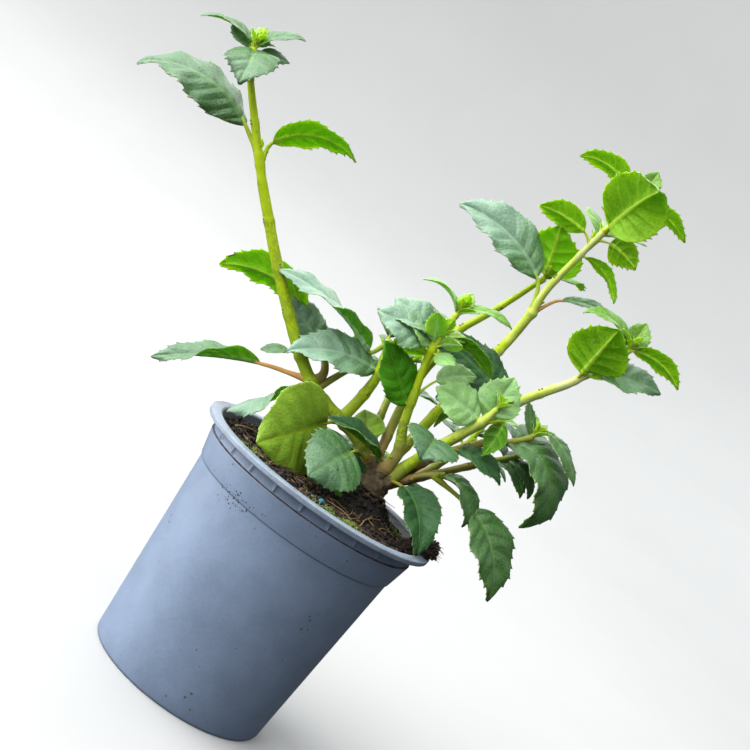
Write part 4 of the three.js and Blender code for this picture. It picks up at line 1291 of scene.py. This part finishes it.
def compost_body():
    """The crumbly top and the plain body of the compost that fills the pot."""
    piece = Piece("compost_fill")
    rings, sides = COMPOST["rings"], COMPOST["sides"]
    rim = inside_wall(COMPOST["gap_to_pot"])
    inside = POT["wall"] + COMPOST["gap_to_pot"]
    shoulder = POT["height"] - POT["collar_drop"]
    step = POT["shoulder_step"]
    foot = POT["floor"] + COMPOST["gap_to_pot"]
    rows = [(rim * (ring / rings) ** 0.8, None) for ring in range(1, rings + 1)]
    rows.append((POT["shoulder_radius"] - inside, shoulder))
    rows.append((POT["shoulder_radius"] - step - inside, shoulder - step))
    rows.append((POT["base_radius"] - inside, foot))
    points = [[0.0, 0.0, compost_height(0.0, 0.0)]]
    for radius, up in rows:
        for side in range(sides):
            turn = 2 * math.pi * side / sides
            x, y = radius * math.cos(turn), radius * math.sin(turn)
            z = up
            if up is None:
                uneven = sum(high * rough((x, y, 0), size, seed) for high, size, seed in COMPOST_ROUGH)
                z = compost_height(x, y) + uneven
            points.append([x, y, z])
    points.append([0.0, 0.0, foot])
    last = 1 + (len(rows) - 1) * sides
    piece.add(points, dish_faces(len(rows), sides) + fan(sides, last, len(points) - 1), "soil")
    for lump in RIM_CLUMP:
        core = [value * 0.84 for value in lump["size"]]
        ball, ball_faces = knob(lump["centre"], core, 40, 28, 0.4, 1.6)
        piece.add(ball, ball_faces, "soil")
    return piece


def knob(centre, size, sides, rings, unevenness, feature):
    """A rough closed lump."""
    centre = np.array(centre)
    points = []
    for ring in range(rings + 1):
        lift = 180 * (ring / rings - 0.5)
        for side in range(sides):
            ray = direction(360 * side / sides, lift) * np.array(size)
            points.append(centre + ray * (1 + unevenness * rough(centre + ray, feature)))
    faces = ring_faces(rings + 1, sides)
    faces.append(list(range(sides))[::-1])
    faces.append(list(range(rings * sides, (rings + 1) * sides)))
    return np.array(points), faces


CRUMB_POINTS = np.array([
    [0, 0, 1], [0.89, 0, 0.45], [0.28, 0.85, 0.45], [-0.72, 0.53, 0.45], [-0.72, -0.53, 0.45],
    [0.28, -0.85, 0.45], [0.72, 0.53, -0.45], [-0.28, 0.85, -0.45], [-0.89, 0, -0.45],
    [-0.28, -0.85, -0.45], [0.72, -0.53, -0.45], [0, 0, -1],
])
CRUMB_FACES = [
    [0, 1, 2], [0, 2, 3], [0, 3, 4], [0, 4, 5], [0, 5, 1],
    [1, 6, 2], [2, 6, 7], [2, 7, 3], [3, 7, 8], [3, 8, 4],
    [4, 8, 9], [4, 9, 5], [5, 9, 10], [5, 10, 1], [1, 10, 6],
    [11, 7, 6], [11, 8, 7], [11, 9, 8], [11, 10, 9], [11, 6, 10],
]


def crumb(piece, centre, size, look):
    """An irregular grain."""
    uneven = chance.uniform(0.65, 1.2, (len(CRUMB_POINTS), 1))
    stretch = chance.uniform(0.35, 1.2, 3)
    turn = np.array(Matrix.Rotation(chance.uniform(0, 6), 3, Vector(unit(chance.normal(0, 1, 3)))))
    points = (CRUMB_POINTS * uneven * stretch * size) @ turn.T
    piece.add(np.array(centre) + points, CRUMB_FACES, look)


def on_compost(radius_limit):
    """A chance place on the compost's top."""
    radius = radius_limit * math.sqrt(chance.uniform(0, 1))
    turn = chance.uniform(0, 2 * math.pi)
    x, y = radius * math.cos(turn), radius * math.sin(turn)
    return x, y, float(compost_height(x, y))


def one_of(*looks):
    """A look by chance; a name that is given twice comes twice as often."""
    return str(chance.choice(looks))


def crumbs():
    """Loose grains on the compost and on the clump over the rim."""
    piece = Piece("compost_crumbs")
    looks = ("crumb_black",) * 5 + ("crumb_brown",) * 4 + ("crumb_tan",)
    growth = CRUMBS["largest"] - CRUMBS["smallest"]
    for _ in range(CRUMBS["count"]):
        x, y, z = on_compost(inside_wall(CRUMBS["off_wall"]))
        size = CRUMBS["smallest"] + growth * chance.uniform(0, 1) ** 2.6
        place = (x, y, z + chance.uniform(0.1, 0.9) + size * 0.2)
        crumb(piece, place, size, one_of(*looks))
    for lump in RIM_CLUMP:
        for _ in range(CRUMBS["on_clump"]):
            ray = unit(chance.normal(0, 1, 3)) * np.array(lump["size"])
            place = np.array(lump["centre"]) + ray * chance.uniform(0.7, 1.12)
            if place[2] > POT["height"] + 0.4 or math.hypot(place[0], place[1]) < 38:
                crumb(piece, place, chance.uniform(0.25, 0.8), one_of(*looks))
    return piece


def splashes():
    """Specks of compost stuck to the pot's side in front."""
    piece = Piece("pot_specks")
    shoulder = POT["height"] - POT["collar_drop"]
    groove = POT["height"] - POT["groove_drop"]
    levels = (0, shoulder - 0.6, shoulder, groove)
    below_step = POT["shoulder_radius"] - POT["shoulder_step"]
    reaches = (POT["base_radius"], below_step, POT["shoulder_radius"], POT["groove_radius"] + 0.8)
    for _ in range(SPECKS["count"]):
        turn = math.radians(chance.normal(SPECKS["heading"], SPECKS["spread"]))
        up = min(shoulder + chance.normal(0, SPECKS["height"]), groove - 0.5)
        radius = np.interp(up, levels, reaches)
        size = SPECKS["size"] * chance.uniform(0.4, 1.6) ** 1.5
        look = one_of("crumb_black", "crumb_brown", "crumb_brown", "crumb_tan")
        crumb(piece, (radius * math.cos(turn), radius * math.sin(turn), up), size, look)
    return piece


def fibre(piece, start, heading, length, radius, look, rise, within=None):
    """A thin root or peat fibre that lies in soft bends, within a radius if one is given."""
    points = [np.array(start, float)]
    steps = FIBRES["steps"]
    for _ in range(steps):
        heading += chance.normal(0, 22)
        rise = rise * 0.5 + chance.normal(0, 9)
        points.append(points[-1] + direction(heading, rise) * length / steps)
    if within:
        for point in points:
            point[:2] *= min(1.0, within / math.hypot(point[0], point[1]))
    points = smoothed(points, 1)
    verts, faces = tube(points, np.linspace(radius, radius * 0.45, len(points)), 5)
    piece.add(verts, faces, look)


def inward(x, y):
    """A heading that is more or less towards the pot's middle."""
    return math.degrees(math.atan2(-y, -x)) + chance.uniform(-110, 110)


def fibres():
    """Fine fibres and straws on the compost, and short ones on the clump over the rim."""
    piece = Piece("compost_fibres")
    rim = inside_wall(4)
    wall = inside_wall(FIBRES["off_wall"])
    for _ in range(FIBRES["count"]):
        x, y, z = on_compost(rim)
        length = FIBRES["longest"] * chance.uniform(0.15, 1) ** 1.6 + 1.5
        heading = inward(x, y)
        look = one_of("fibre_tan", "fibre_brown", "fibre_brown")
        thick, rise = chance.uniform(0.1, 0.26), chance.uniform(0, 25)
        fibre(piece, (x, y, z + 1.0), heading, length, thick, look, rise, wall)
    for _ in range(FIBRES["straws"]):
        x, y, z = on_compost(rim)
        heading = inward(x, y)
        thick = FIBRES["straw_radius"] * chance.uniform(0.6, 1)
        length, rise = chance.uniform(5, 13), chance.uniform(5, 35)
        fibre(piece, (x, y, z + 1.2), heading, length, thick, "fibre_tan", rise, wall)
    for lump in RIM_CLUMP:
        for _ in range(FIBRES["on_clump"]):
            ray = unit(chance.normal(0, 1, 3) + np.array([0.4, 0, 0.3]))
            start = np.array(lump["centre"]) + ray * np.array(lump["size"]) * 0.75
            if start[2] < POT["height"] + 1:
                continue
            heading = math.degrees(math.atan2(ray[1], ray[0]))
            rise = math.degrees(math.asin(ray[2]))
            look = one_of("fibre_brown", "fibre_brown", "fibre_tan")
            fibre(piece, start, heading, chance.uniform(1.5, 4.0), 0.14, look, rise)
    return piece


def moss():
    """Low tufts of moss, mostly along the front of the rim."""
    piece = Piece("moss")
    for middle_x, middle_y, spread, count in MOSS:
        for _ in range(count):
            x = middle_x + chance.normal(0, spread)
            y = middle_y + chance.normal(0, spread * 0.6)
            if math.hypot(x, y) > inside_wall(1.5):
                continue
            foot = np.array([x, y, float(compost_height(x, y)) + 0.3])
            for _ in range(5):
                lean = direction(chance.uniform(0, 360), chance.uniform(25, 80))
                tip = foot + lean * chance.uniform(0.9, 2.1)
                points = np.linspace(foot, tip, 3)
                verts, faces = tube(points, (0.2, 0.26, 0.05), 4)
                piece.add(verts, faces, "moss")
    return piece


def round_off(outline, sizes, steps=4):
    """Rounds the corners of a closed outline of (radius, up) places, each by its own size."""
    count = len(outline)
    out = []
    for i in range(count):
        here = np.array(outline[i], float)
        before = np.array(outline[i - 1], float)
        after = np.array(outline[(i + 1) % count], float)
        size = sizes[i]
        if size == 0:
            out.append(here)
            continue
        a = here + unit(before - here) * min(size, np.linalg.norm(before - here) * 0.45)
        b = here + unit(after - here) * min(size, np.linalg.norm(after - here) * 0.45)
        for t in np.linspace(0, 1, steps + 1):
            out.append(a * (1 - t) ** 2 + here * 2 * t * (1 - t) + b * t * t)
    return np.array(out)


def pot_shell():
    """The moulded pot: lip, ribbed groove, collar, tapering wall and a floor with drain holes."""
    height = POT["height"]
    under_lip = height - POT["lip_thickness"]
    groove_foot = height - POT["groove_drop"]
    shoulder = height - POT["collar_drop"]
    wall = POT["wall"]
    corners = [
        (0.0, 0.0, 0), (POT["base_radius"], 0.0, 1.2),
        (POT["shoulder_radius"] - POT["shoulder_step"], shoulder - 0.6, 0.15),
        (POT["shoulder_radius"], shoulder - 0.1, 0.2),
        (POT["groove_radius"] + 0.9, groove_foot, 0.35),
        (POT["groove_radius"], groove_foot + 0.5, 0.2),
        (POT["groove_radius"], groove_foot + 0.9, 0),
        (POT["groove_radius"] + 0.1, under_lip - 0.6, 0),
        (POT["groove_radius"] + 0.3, under_lip - 0.1, 0.3),
        (POT["lip_radius"] - 0.2, under_lip, 0.3),
        (POT["lip_radius"], height - 0.25, 0.35),
        (POT["lip_radius"] - 1.6, height, 0.3),
        (POT["collar_radius"], height, 0.7),
        (POT["groove_radius"] - wall, under_lip - 1.2, 0.8),
        (POT["shoulder_radius"] - wall, shoulder, 0.3),
        (POT["shoulder_radius"] - POT["shoulder_step"] - wall, shoulder - POT["shoulder_step"], 0.2),
        (POT["base_radius"] - wall, POT["floor"], 0.8), (0.0, POT["floor"], 0),
    ]
    outline = round_off([corner[:2] for corner in corners], [corner[2] for corner in corners])
    rows = []
    for a, b in zip(outline[:-1], outline[1:]):
        cuts = max(1, int(np.linalg.norm(b - a) / 5))
        rows.extend(a + (b - a) * i / cuts for i in range(cuts))
    rows.append(outline[-1])
    rows = np.array(rows)
    sides = POT["sides"]
    per_rib = sides // RIBS["count"]
    points = []
    for radius, up in rows[1:-1]:
        banded = groove_foot + 0.8 < up < under_lip - 0.5 and radius > POT["groove_radius"] - 0.5
        for side in range(sides):
            turn = 2 * math.pi * side / sides
            reach = radius + (RIBS["depth"] if banded and side % per_rib < 1 else 0)
            reach += OUT_OF_ROUND * math.sin(2 * turn + 1) * up / height
            points.append([reach * math.cos(turn), reach * math.sin(turn), up])
    points.append([0.0, 0.0, 0.0])
    points.append([0.0, 0.0, POT["floor"]])
    faces = []
    looks = []
    count = len(rows) - 2
    rim_row = int(np.argmax(rows[:, 1] + 0.001 * (rows[:, 0] < POT["collar_radius"] + 0.2)))
    for side in range(sides):
        after = (side + 1) % sides
        faces.append([after, side, len(points) - 2])
        faces.append([(count - 1) * sides + side, (count - 1) * sides + after, len(points) - 1])
        looks.extend(["pot_wall", "pot_wall"])
        for row in range(count - 1):
            a, b = row * sides + side, row * sides + after
            faces.append([a, b, b + sides, a + sides])
            out, up = (rows[row + 1] + rows[row + 2]) / 2
            look = "pot_lip" if up > under_lip - 0.3 else "pot_wall"
            # Inside the rim the wall takes a darker colour: painted shade.
            if row > rim_row and up < height - 0.8:
                look = "pot_inside"
            # A thin darker line along the foot of the groove.
            elif out > POT["groove_radius"] and groove_foot - 0.05 < up < groove_foot + 0.3:
                look = "pot_seam"
            looks.append(look)
    piece = Piece("moulded_pot")
    piece.add(points, faces, looks)
    thing = piece.build("pot", ["pot"])
    holes = Piece("hole_cutter")
    for i in range(DRAIN["count"]):
        turn = 2 * math.pi * i / DRAIN["count"]
        x, y = DRAIN["ring_radius"] * math.cos(turn), DRAIN["ring_radius"] * math.sin(turn)
        run = np.array([[x, y, -3.0], [x, y, -1.0], [x, y, 4.0], [x, y, 6.0]])
        verts, hole_faces = tube(run, [DRAIN["radius"]] * 4, DRAIN["sides"])
        holes.add(verts, hole_faces, "pot_wall")
    cut_holes(thing, holes)


def cut_holes(thing, holes):
    """Cuts the drain holes and keeps the result as plain mesh."""
    cutter = new_object("hole_cutter", np.concatenate(holes.points) * MM, holes.faces)
    cut = thing.modifiers.new("holes", "BOOLEAN")
    cut.operation = "DIFFERENCE"
    cut.object = cutter
    cut.solver = "EXACT"
    graph = bpy.context.evaluated_depsgraph_get()
    done = bpy.data.meshes.new_from_object(thing.evaluated_get(graph))
    thing.modifiers.remove(cut)
    old = thing.data
    thing.data = done
    bpy.data.meshes.remove(old)
    bpy.data.objects.remove(cutter)
    thing.data.set_sharp_from_angle(angle=math.radians(CRISP_EDGE))


# The crown

def woody_relief(points, kind, fade):
    """Knobs and cracks of bark round a run; fade: their share at each point of it."""
    wood = WOOD[kind]

    def relief(turns):
        out = np.zeros((len(points), len(turns)))
        for i, point in enumerate(points):
            for j, turn in enumerate(turns):
                x = point[0] + wood["reach"] * math.cos(turn)
                y = point[1] + wood["reach"] * math.sin(turn)
                place = (x, y, point[2] * wood["squash"])
                knobs = wood["knobs"][0] * rough(place, wood["knobs"][1])
                cracks = wood["cracks"][0] * rough(place, wood["cracks"][1], 5.0)
                out[i, j] = fade[i] * (knobs + cracks)
        return out

    return relief


def crown_wood():
    """The knobbly woody base that every stem rises from."""
    piece = Piece("crown_wood")
    limb = LIMBS["crown"]
    run, shares = way_run(limb["way"], 0.3)
    radii = limb["radii"][0] + (limb["radii"][1] - limb["radii"][0]) * shares
    radii = radii * (1 - 0.55 * shares ** 6)
    verts, faces = tube(run, radii, 64, woody_relief(run, "crown", np.ones(len(run))))
    piece.add(verts, faces, "bark")
    heart = np.array(limb["way"][1])
    for name, other in LIMBS.items():
        near = np.array(other["way"][0])
        if name == "crown" or np.linalg.norm(near - heart) > CROWN_REACH:
            continue
        onward = unit(way_point(other["way"], 0.12) - near)
        foot = heart + (near - heart) * 0.35 - UP * 1.5
        points = bezier(foot, foot + (near - foot) * 0.6, near - onward * 1.5, near + onward * 3.6, 16)
        shares = np.linspace(0, 1, len(points))
        sizes = other["radii"][0] * (1.75 - 0.83 * shares ** 0.7)
        verts, faces = tube(points, sizes, 24, woody_relief(points, "foot", 1 - 0.75 * shares))
        piece.add(verts, faces, "bark")
    return piece


# Blue feed grains

def grains():
    """Grains of feed on the compost and between the stems."""
    piece = Piece("feed_grains")
    for place, size in GRAINS:
        ball, faces = knob(place, (size, size, size * 0.9), 16, 12, 0.05, 1.0)
        piece.add(ball, faces, "grain")
    return piece


# Materials

# Materials by name, as each is first asked for
made = {}


def finish(name):
    """The material of a name."""
    if name not in made:
        made[name] = make_finish(name)
    return made[name]


def node_of(tree, kind, **values):
    """A shader node, with some of its own settings or its inputs' values."""
    node = tree.nodes.new(kind)
    for key, value in values.items():
        if hasattr(node, key):
            setattr(node, key, value)
        else:
            node.inputs[key].default_value = value
    return node


def pattern(tree, place, kind, size, **values):
    """A texture with features about size mm across."""
    texture = node_of(tree, kind, **values, Scale=1 / (size * MM))
    tree.links.new(place.outputs["Object"], texture.inputs["Vector"])
    return texture


def mapped(tree, value, start, end, new_start, new_end):
    """A value moved from one range into another."""
    node = node_of(tree, "ShaderNodeMapRange")
    names = ("From Min", "From Max", "To Min", "To Max")
    for name, number in zip(names, (start, end, new_start, new_end)):
        node.inputs[name].default_value = number
    tree.links.new(value, node.inputs["Value"])
    return node.outputs["Result"]


def calculated(tree, operation, *values):
    """The result of a sum on numbers and on other nodes' outputs."""
    node = node_of(tree, "ShaderNodeMath", operation=operation)
    for socket, value in zip(node.inputs, values):
        if isinstance(value, (int, float)):
            socket.default_value = value
        else:
            tree.links.new(value, socket)
    return node.outputs[0]


def laid_over(tree, below, colour, share):
    """A plain colour laid over another node's colour, by a share."""
    mix = node_of(tree, "ShaderNodeMix", data_type="RGBA")
    tree.links.new(share, mix.inputs[0])
    tree.links.new(below, mix.inputs[6])
    mix.inputs[7].default_value = (*colour, 1)
    return mix.outputs[2]


def surface(name, tones, patch, grain, rough_range, bump, net=None, sockets=None):
    """A procedural material. tones: deep, middle and light colour; patch and grain: the sizes
    in mm of the two patterns that mix them; bump: its height in mm; net: colour and depth of
    the finest veins; sockets: values for the shader itself."""
    material = bpy.data.materials.new(name)
    material.use_nodes = True
    tree = material.node_tree
    link = tree.links.new
    shader = tree.nodes["Principled BSDF"]
    for socket, value in (sockets or {}).items():
        shader.inputs[socket.replace("_", " ")].default_value = value
    place = node_of(tree, "ShaderNodeTexCoord")
    wide = pattern(tree, place, "ShaderNodeTexNoise", patch, Detail=3.0, Roughness=0.6)
    fine = pattern(tree, place, "ShaderNodeTexNoise", grain, Detail=4.0, Roughness=0.65)
    both = node_of(tree, "ShaderNodeMix", data_type="FLOAT", clamp_factor=True)
    both.inputs[0].default_value = 0.4
    link(wide.outputs["Fac"], both.inputs[2])
    link(fine.outputs["Fac"], both.inputs[3])
    ramp = node_of(tree, "ShaderNodeValToRGB")
    marks = ramp.color_ramp.elements
    marks.new(0.5)
    for mark, position, tone in zip(marks, (0.36, 0.5, 0.64), tones):
        mark.position = position
        mark.color = (*tone, 1)
    link(both.outputs[0], ramp.inputs["Fac"])
    colour = ramp.outputs["Color"]
    height = fine.outputs["Fac"]
    if net:
        tone, depth = net
        cells = pattern(tree, place, "ShaderNodeTexVoronoi", NET["size"], feature="DISTANCE_TO_EDGE")
        line = mapped(tree, cells.outputs["Distance"], 0.0, NET["line"], 1.0, 0.0)
        colour = laid_over(tree, colour, tone, calculated(tree, "MULTIPLY", line, NET["share"]))
        height = calculated(tree, "MULTIPLY_ADD", line, -depth, height)
    link(colour, shader.inputs["Base Color"])
    link(mapped(tree, both.outputs[0], 0.3, 0.7, *rough_range), shader.inputs["Roughness"])
    relief = node_of(tree, "ShaderNodeBump", Distance=bump * MM, Strength=0.7)
    link(height, relief.inputs["Height"])
    link(relief.outputs["Normal"], shader.inputs["Normal"])
    return material


def tones_of(colour, spread, warmth=0.0):
    """Deeper, same and lighter versions of a colour, the lighter one also redder if asked."""
    deep = [value * (1 - spread) for value in colour]
    light = [min(1, value * (1 + spread)) for value in colour]
    light[0] = min(1, light[0] * (1 + warmth))
    return deep, colour, light


def blend_of(first, second, share):
    """A colour that is a share of the way from the first to the second."""
    return tuple(a + (b - a) * share for a, b in zip(first, second))


def upper_colour(look, step):
    """An upper face's colour, with less painted sky reflection in the steps near the stalk."""
    if not step:
        return UPPER[look]
    return blend_of(PAINTED_SKY_SHEEN["bare"][look], UPPER[look], (int(step) + 0.5) / PAINTED_SKY_SHEEN["steps"])


def colour_of(kind, look, step):
    """The middle colour of a face on the plant."""
    if kind == "edge":
        return blend_of(UPPER[look], EDGE_COLOUR, 0.5)
    if kind == "stalk":
        return STALK_COLOUR[look]
    if kind == "stem":
        return STEM_SHADES[int(look)]
    blade_colour = upper_colour(look, step) if kind.endswith("upper") else UNDER[look]
    return blend_of(blade_colour, RIB[look], RIB_SHARE[kind])


def make_finish(name):
    """The material of a name: a kind and, on the plant, a look and a step of its painted sky reflection.
    """
    kind, _, look = name.partition("_")
    look, _, step = look.partition(".")
    patch, grain, rough_range, bump, spread = FINISHES[name if name in FINISHES else kind]
    if name in TONES:
        tones = TONES[name]
    elif name in OTHER_COLOURS:
        tones = tones_of(OTHER_COLOURS[name], spread)
    else:
        tones = tones_of(colour_of(kind, look, step), spread, STALK_WARMTH if kind == "stalk" else 0.0)
    sockets = SKINS.get(name, SKINS.get(kind))
    if kind.endswith("upper"):
        sockets = LEAF_DULL if look in DULL_LOOKS else LEAF_TOP
    net = (RIB[look], NET["depth"][kind]) if kind in NET["depth"] else None
    material = surface(name, tones, patch, grain, rough_range, bump, net, sockets)
    if sockets is PLASTIC:
        add_soil_marks(material)
    return material


def add_soil_marks(material):
    """Lays small marks of soil, in patches, over a material's colour."""
    tree = material.node_tree
    base_colour = tree.nodes["Principled BSDF"].inputs["Base Color"]
    place = node_of(tree, "ShaderNodeTexCoord")
    marks = pattern(tree, place, "ShaderNodeTexVoronoi", SOIL_MARKS["size"])
    patches = pattern(tree, place, "ShaderNodeTexNoise", SOIL_MARKS["patch"], Detail=2.0)
    reach = mapped(tree, patches.outputs["Fac"], *SOIL_MARKS["from"], 0.0, SOIL_MARKS["reach"])
    spot = calculated(tree, "LESS_THAN", marks.outputs["Distance"], reach)
    share = calculated(tree, "MULTIPLY", spot, SOIL_MARKS["strength"])
    before = base_colour.links[0].from_socket
    tree.links.new(laid_over(tree, before, SOIL_MARKS["colour"], share), base_colour)


# The plant is put together

def pieces_of(name, masses, singles):
    """One piece of leaves, and its buds, for a part of the crown."""
    leaves = Piece(name)
    for mass_name in masses:
        mass = MASSES[mass_name]
        for index, row in enumerate(mass["leaves"]):
            leaf_on(leaves, buds, mass["way"], row, (mass_name, index))
        if mass_name in TIP_SHOOTS:
            shoot_tip(buds, mass["way"])
    for leaf_name in singles:
        limb, row = SINGLE_LEAVES[leaf_name]
        leaf_on(leaves, buds, LIMBS[limb]["way"], row, (leaf_name, 0))
    leaves.build("leaf", list(masses) + list(singles))


low_leaves = Piece("low_leaves")
buds = Piece("buds")
for name, row in LOW_LEAVES.items():
    leaf_on(low_leaves, buds, LIMBS["crown"]["way"], row, (name, 0))
low_leaves.build("leaf")
for region, (masses, singles) in REGIONS.items():
    pieces_of(region, masses, singles)
buds.build("leaf")
bits = Piece("leaf_bits")
for kind, place, radius in settled:
    if kind == "drop":
        ball, ball_faces = knob(place, (radius, radius, radius), 12, 8, 0.04, 1.0)
        bits.add(ball, ball_faces, "drop")
    else:
        crumb(bits, place, radius, kind)
bits.build("leaf")

stems = Piece("stems")
marks = Piece("leaf_scars")
followed = {MASSES[name]["on"]: name for name in MASSES if name not in SIDE_TWIGS}
for name, limb in LIMBS.items():
    if name == "crown":
        continue
    ways = [limb["way"]]
    radii = [limb["radii"]]
    leafy = [way_point(limb["way"], row[0]) for on, row in SINGLE_LEAVES.values() if on == name]
    mass = MASSES.get(followed.get(name))
    if mass:
        ways.append(mass["way"])
        radii.append(mass["radii"])
        leafy += node_places(mass["way"], mass["leaves"])
    if name == "middle_left_stem":
        ways[0] = [nearest_on(LIMBS["left_stem"]["way"], np.array(ways[0][0]))] + ways[0]
    stem(stems, marks, ways, radii, leafy, STEM_LOOKS[name])
for name in SIDE_TWIGS:
    mass = MASSES[name]
    root = nearest_on(LIMBS[mass["on"]]["way"], np.array(mass["way"][0]))
    leafy = node_places(mass["way"], mass["leaves"])
    stem(stems, marks, [[root] + mass["way"]], [mass["radii"]], leafy, STEM_LOOKS[name])
stems.build("stem", [name for name in LIMBS if name != "crown"])
marks.build("bark")
crown_wood().build("bark", ["crown"])

pot_shell()
compost_body().build("compost", ["compost"])
crumbs().build("compost")
splashes().build("compost")
fibres().build("compost")
moss().build("compost")
grains().build("compost")


# Camera, floor and light

def camera_axes():
    """The camera's place in mm and its right, down and view directions."""
    down_tilt = math.radians(CAMERA["looks_down"])
    roll = math.radians(CAMERA["roll"])
    forward = np.array([0, math.cos(down_tilt), -math.sin(down_tilt)])
    right = ACROSS
    up = np.cross(right, forward)
    half = CAMERA["frame_px"] / 2
    x = (CAMERA["rim_centre_px"][0] - half) / CAMERA["focal_px"]
    y = (CAMERA["rim_centre_px"][1] - half) / CAMERA["focal_px"]
    ray = unit(np.array([x, y, 1.0]))
    ray_x = unit(np.cross([0, 1, 0], ray))
    ray_y = np.cross(ray, ray_x)
    turned_x = right * math.cos(roll) + up * math.sin(roll)
    turned_y = right * math.sin(roll) - up * math.cos(roll)
    axes = np.array([ray_x, ray_y, ray]).T @ np.array([turned_x, turned_y, forward])
    place = np.array([0, 0, POT["height"]]) - forward * CAMERA["distance"]
    return axes, place


def add_camera():
    """The camera, at the photograph's viewing angle."""
    axes, place = camera_axes()
    data = bpy.data.cameras.new("camera")
    data.sensor_width = CAMERA["sensor"]
    data.lens = CAMERA["focal_px"] / CAMERA["frame_px"] * CAMERA["sensor"]
    data.clip_start = CAMERA["nearest"] * MM
    camera = bpy.data.objects.new("camera", data)
    matrix = Matrix.Identity(4)
    for row in range(3):
        matrix[row][0] = axes[0][row]
        matrix[row][1] = -axes[1][row]
        matrix[row][2] = -axes[2][row]
        matrix[row][3] = place[row] * MM
    camera.matrix_world = matrix
    bpy.context.scene.collection.objects.link(camera)
    bpy.context.scene.camera = camera


def add_stage():
    """A pale floor that curves up all round, so that every view has a plain backdrop."""
    sides = STAGE["sides"]
    points = [[0.0, 0.0, 0.0]]
    for reach, up in STAGE["profile"]:
        for side in range(sides):
            turn = 2 * math.pi * side / sides
            points.append([reach * math.cos(turn), reach * math.sin(turn), up])
    backdrop = new_object("backdrop", points, dish_faces(len(STAGE["profile"]), sides))
    mesh = backdrop.data
    mesh.polygons.foreach_set("use_smooth", [True] * len(mesh.polygons))
    mesh.materials.append(finish("backdrop"))
    backdrop.visible_diffuse = False
    backdrop.visible_glossy = False
    backdrop.visible_shadow = False


def add_light(name, offset, size, power, colour):
    """A soft round light that looks at the plant's middle from an offset in metres."""
    data = bpy.data.lights.new(name, "AREA")
    data.shape = "DISK"
    data.size = size
    data.energy = power
    data.color = colour
    lamp = bpy.data.objects.new(name, data)
    away = Vector(offset)
    facing = away.to_track_quat("Z", "Y").to_matrix().to_4x4()
    lamp.matrix_world = Matrix.Translation(Vector(LIGHT_AIM) + away) @ facing
    bpy.context.scene.collection.objects.link(lamp)


def add_sky():
    """The light all round, from a dark side to a bright side."""
    world = bpy.data.worlds.new("sky")
    world.use_nodes = True
    tree = world.node_tree
    link = tree.links.new
    place = node_of(tree, "ShaderNodeTexCoord")
    towards = node_of(tree, "ShaderNodeVectorMath", operation="DOT_PRODUCT")
    link(place.outputs["Generated"], towards.inputs[0])
    towards.inputs[1].default_value = tuple(unit(np.array(WORLD["sky"])))
    share = mapped(tree, towards.outputs["Value"], -1.0, 1.0, 0.0, 1.0)
    ramp = node_of(tree, "ShaderNodeValToRGB")
    marks = ramp.color_ramp.elements
    while len(marks) < len(WORLD["shades"]):
        marks.new(0.5)
    for mark, (position, brightness) in zip(marks, WORLD["shades"]):
        mark.position = position
        mark.color = (*(value * brightness for value in WORLD["tint"]), 1)
    link(share, ramp.inputs["Fac"])
    link(ramp.outputs["Color"], tree.nodes["Background"].inputs["Color"])
    bpy.context.scene.world = world


add_camera()
add_stage()
for light in LIGHTS:
    add_light(*light)
add_sky()
bpy.context.scene.view_settings.view_transform = "Standard"
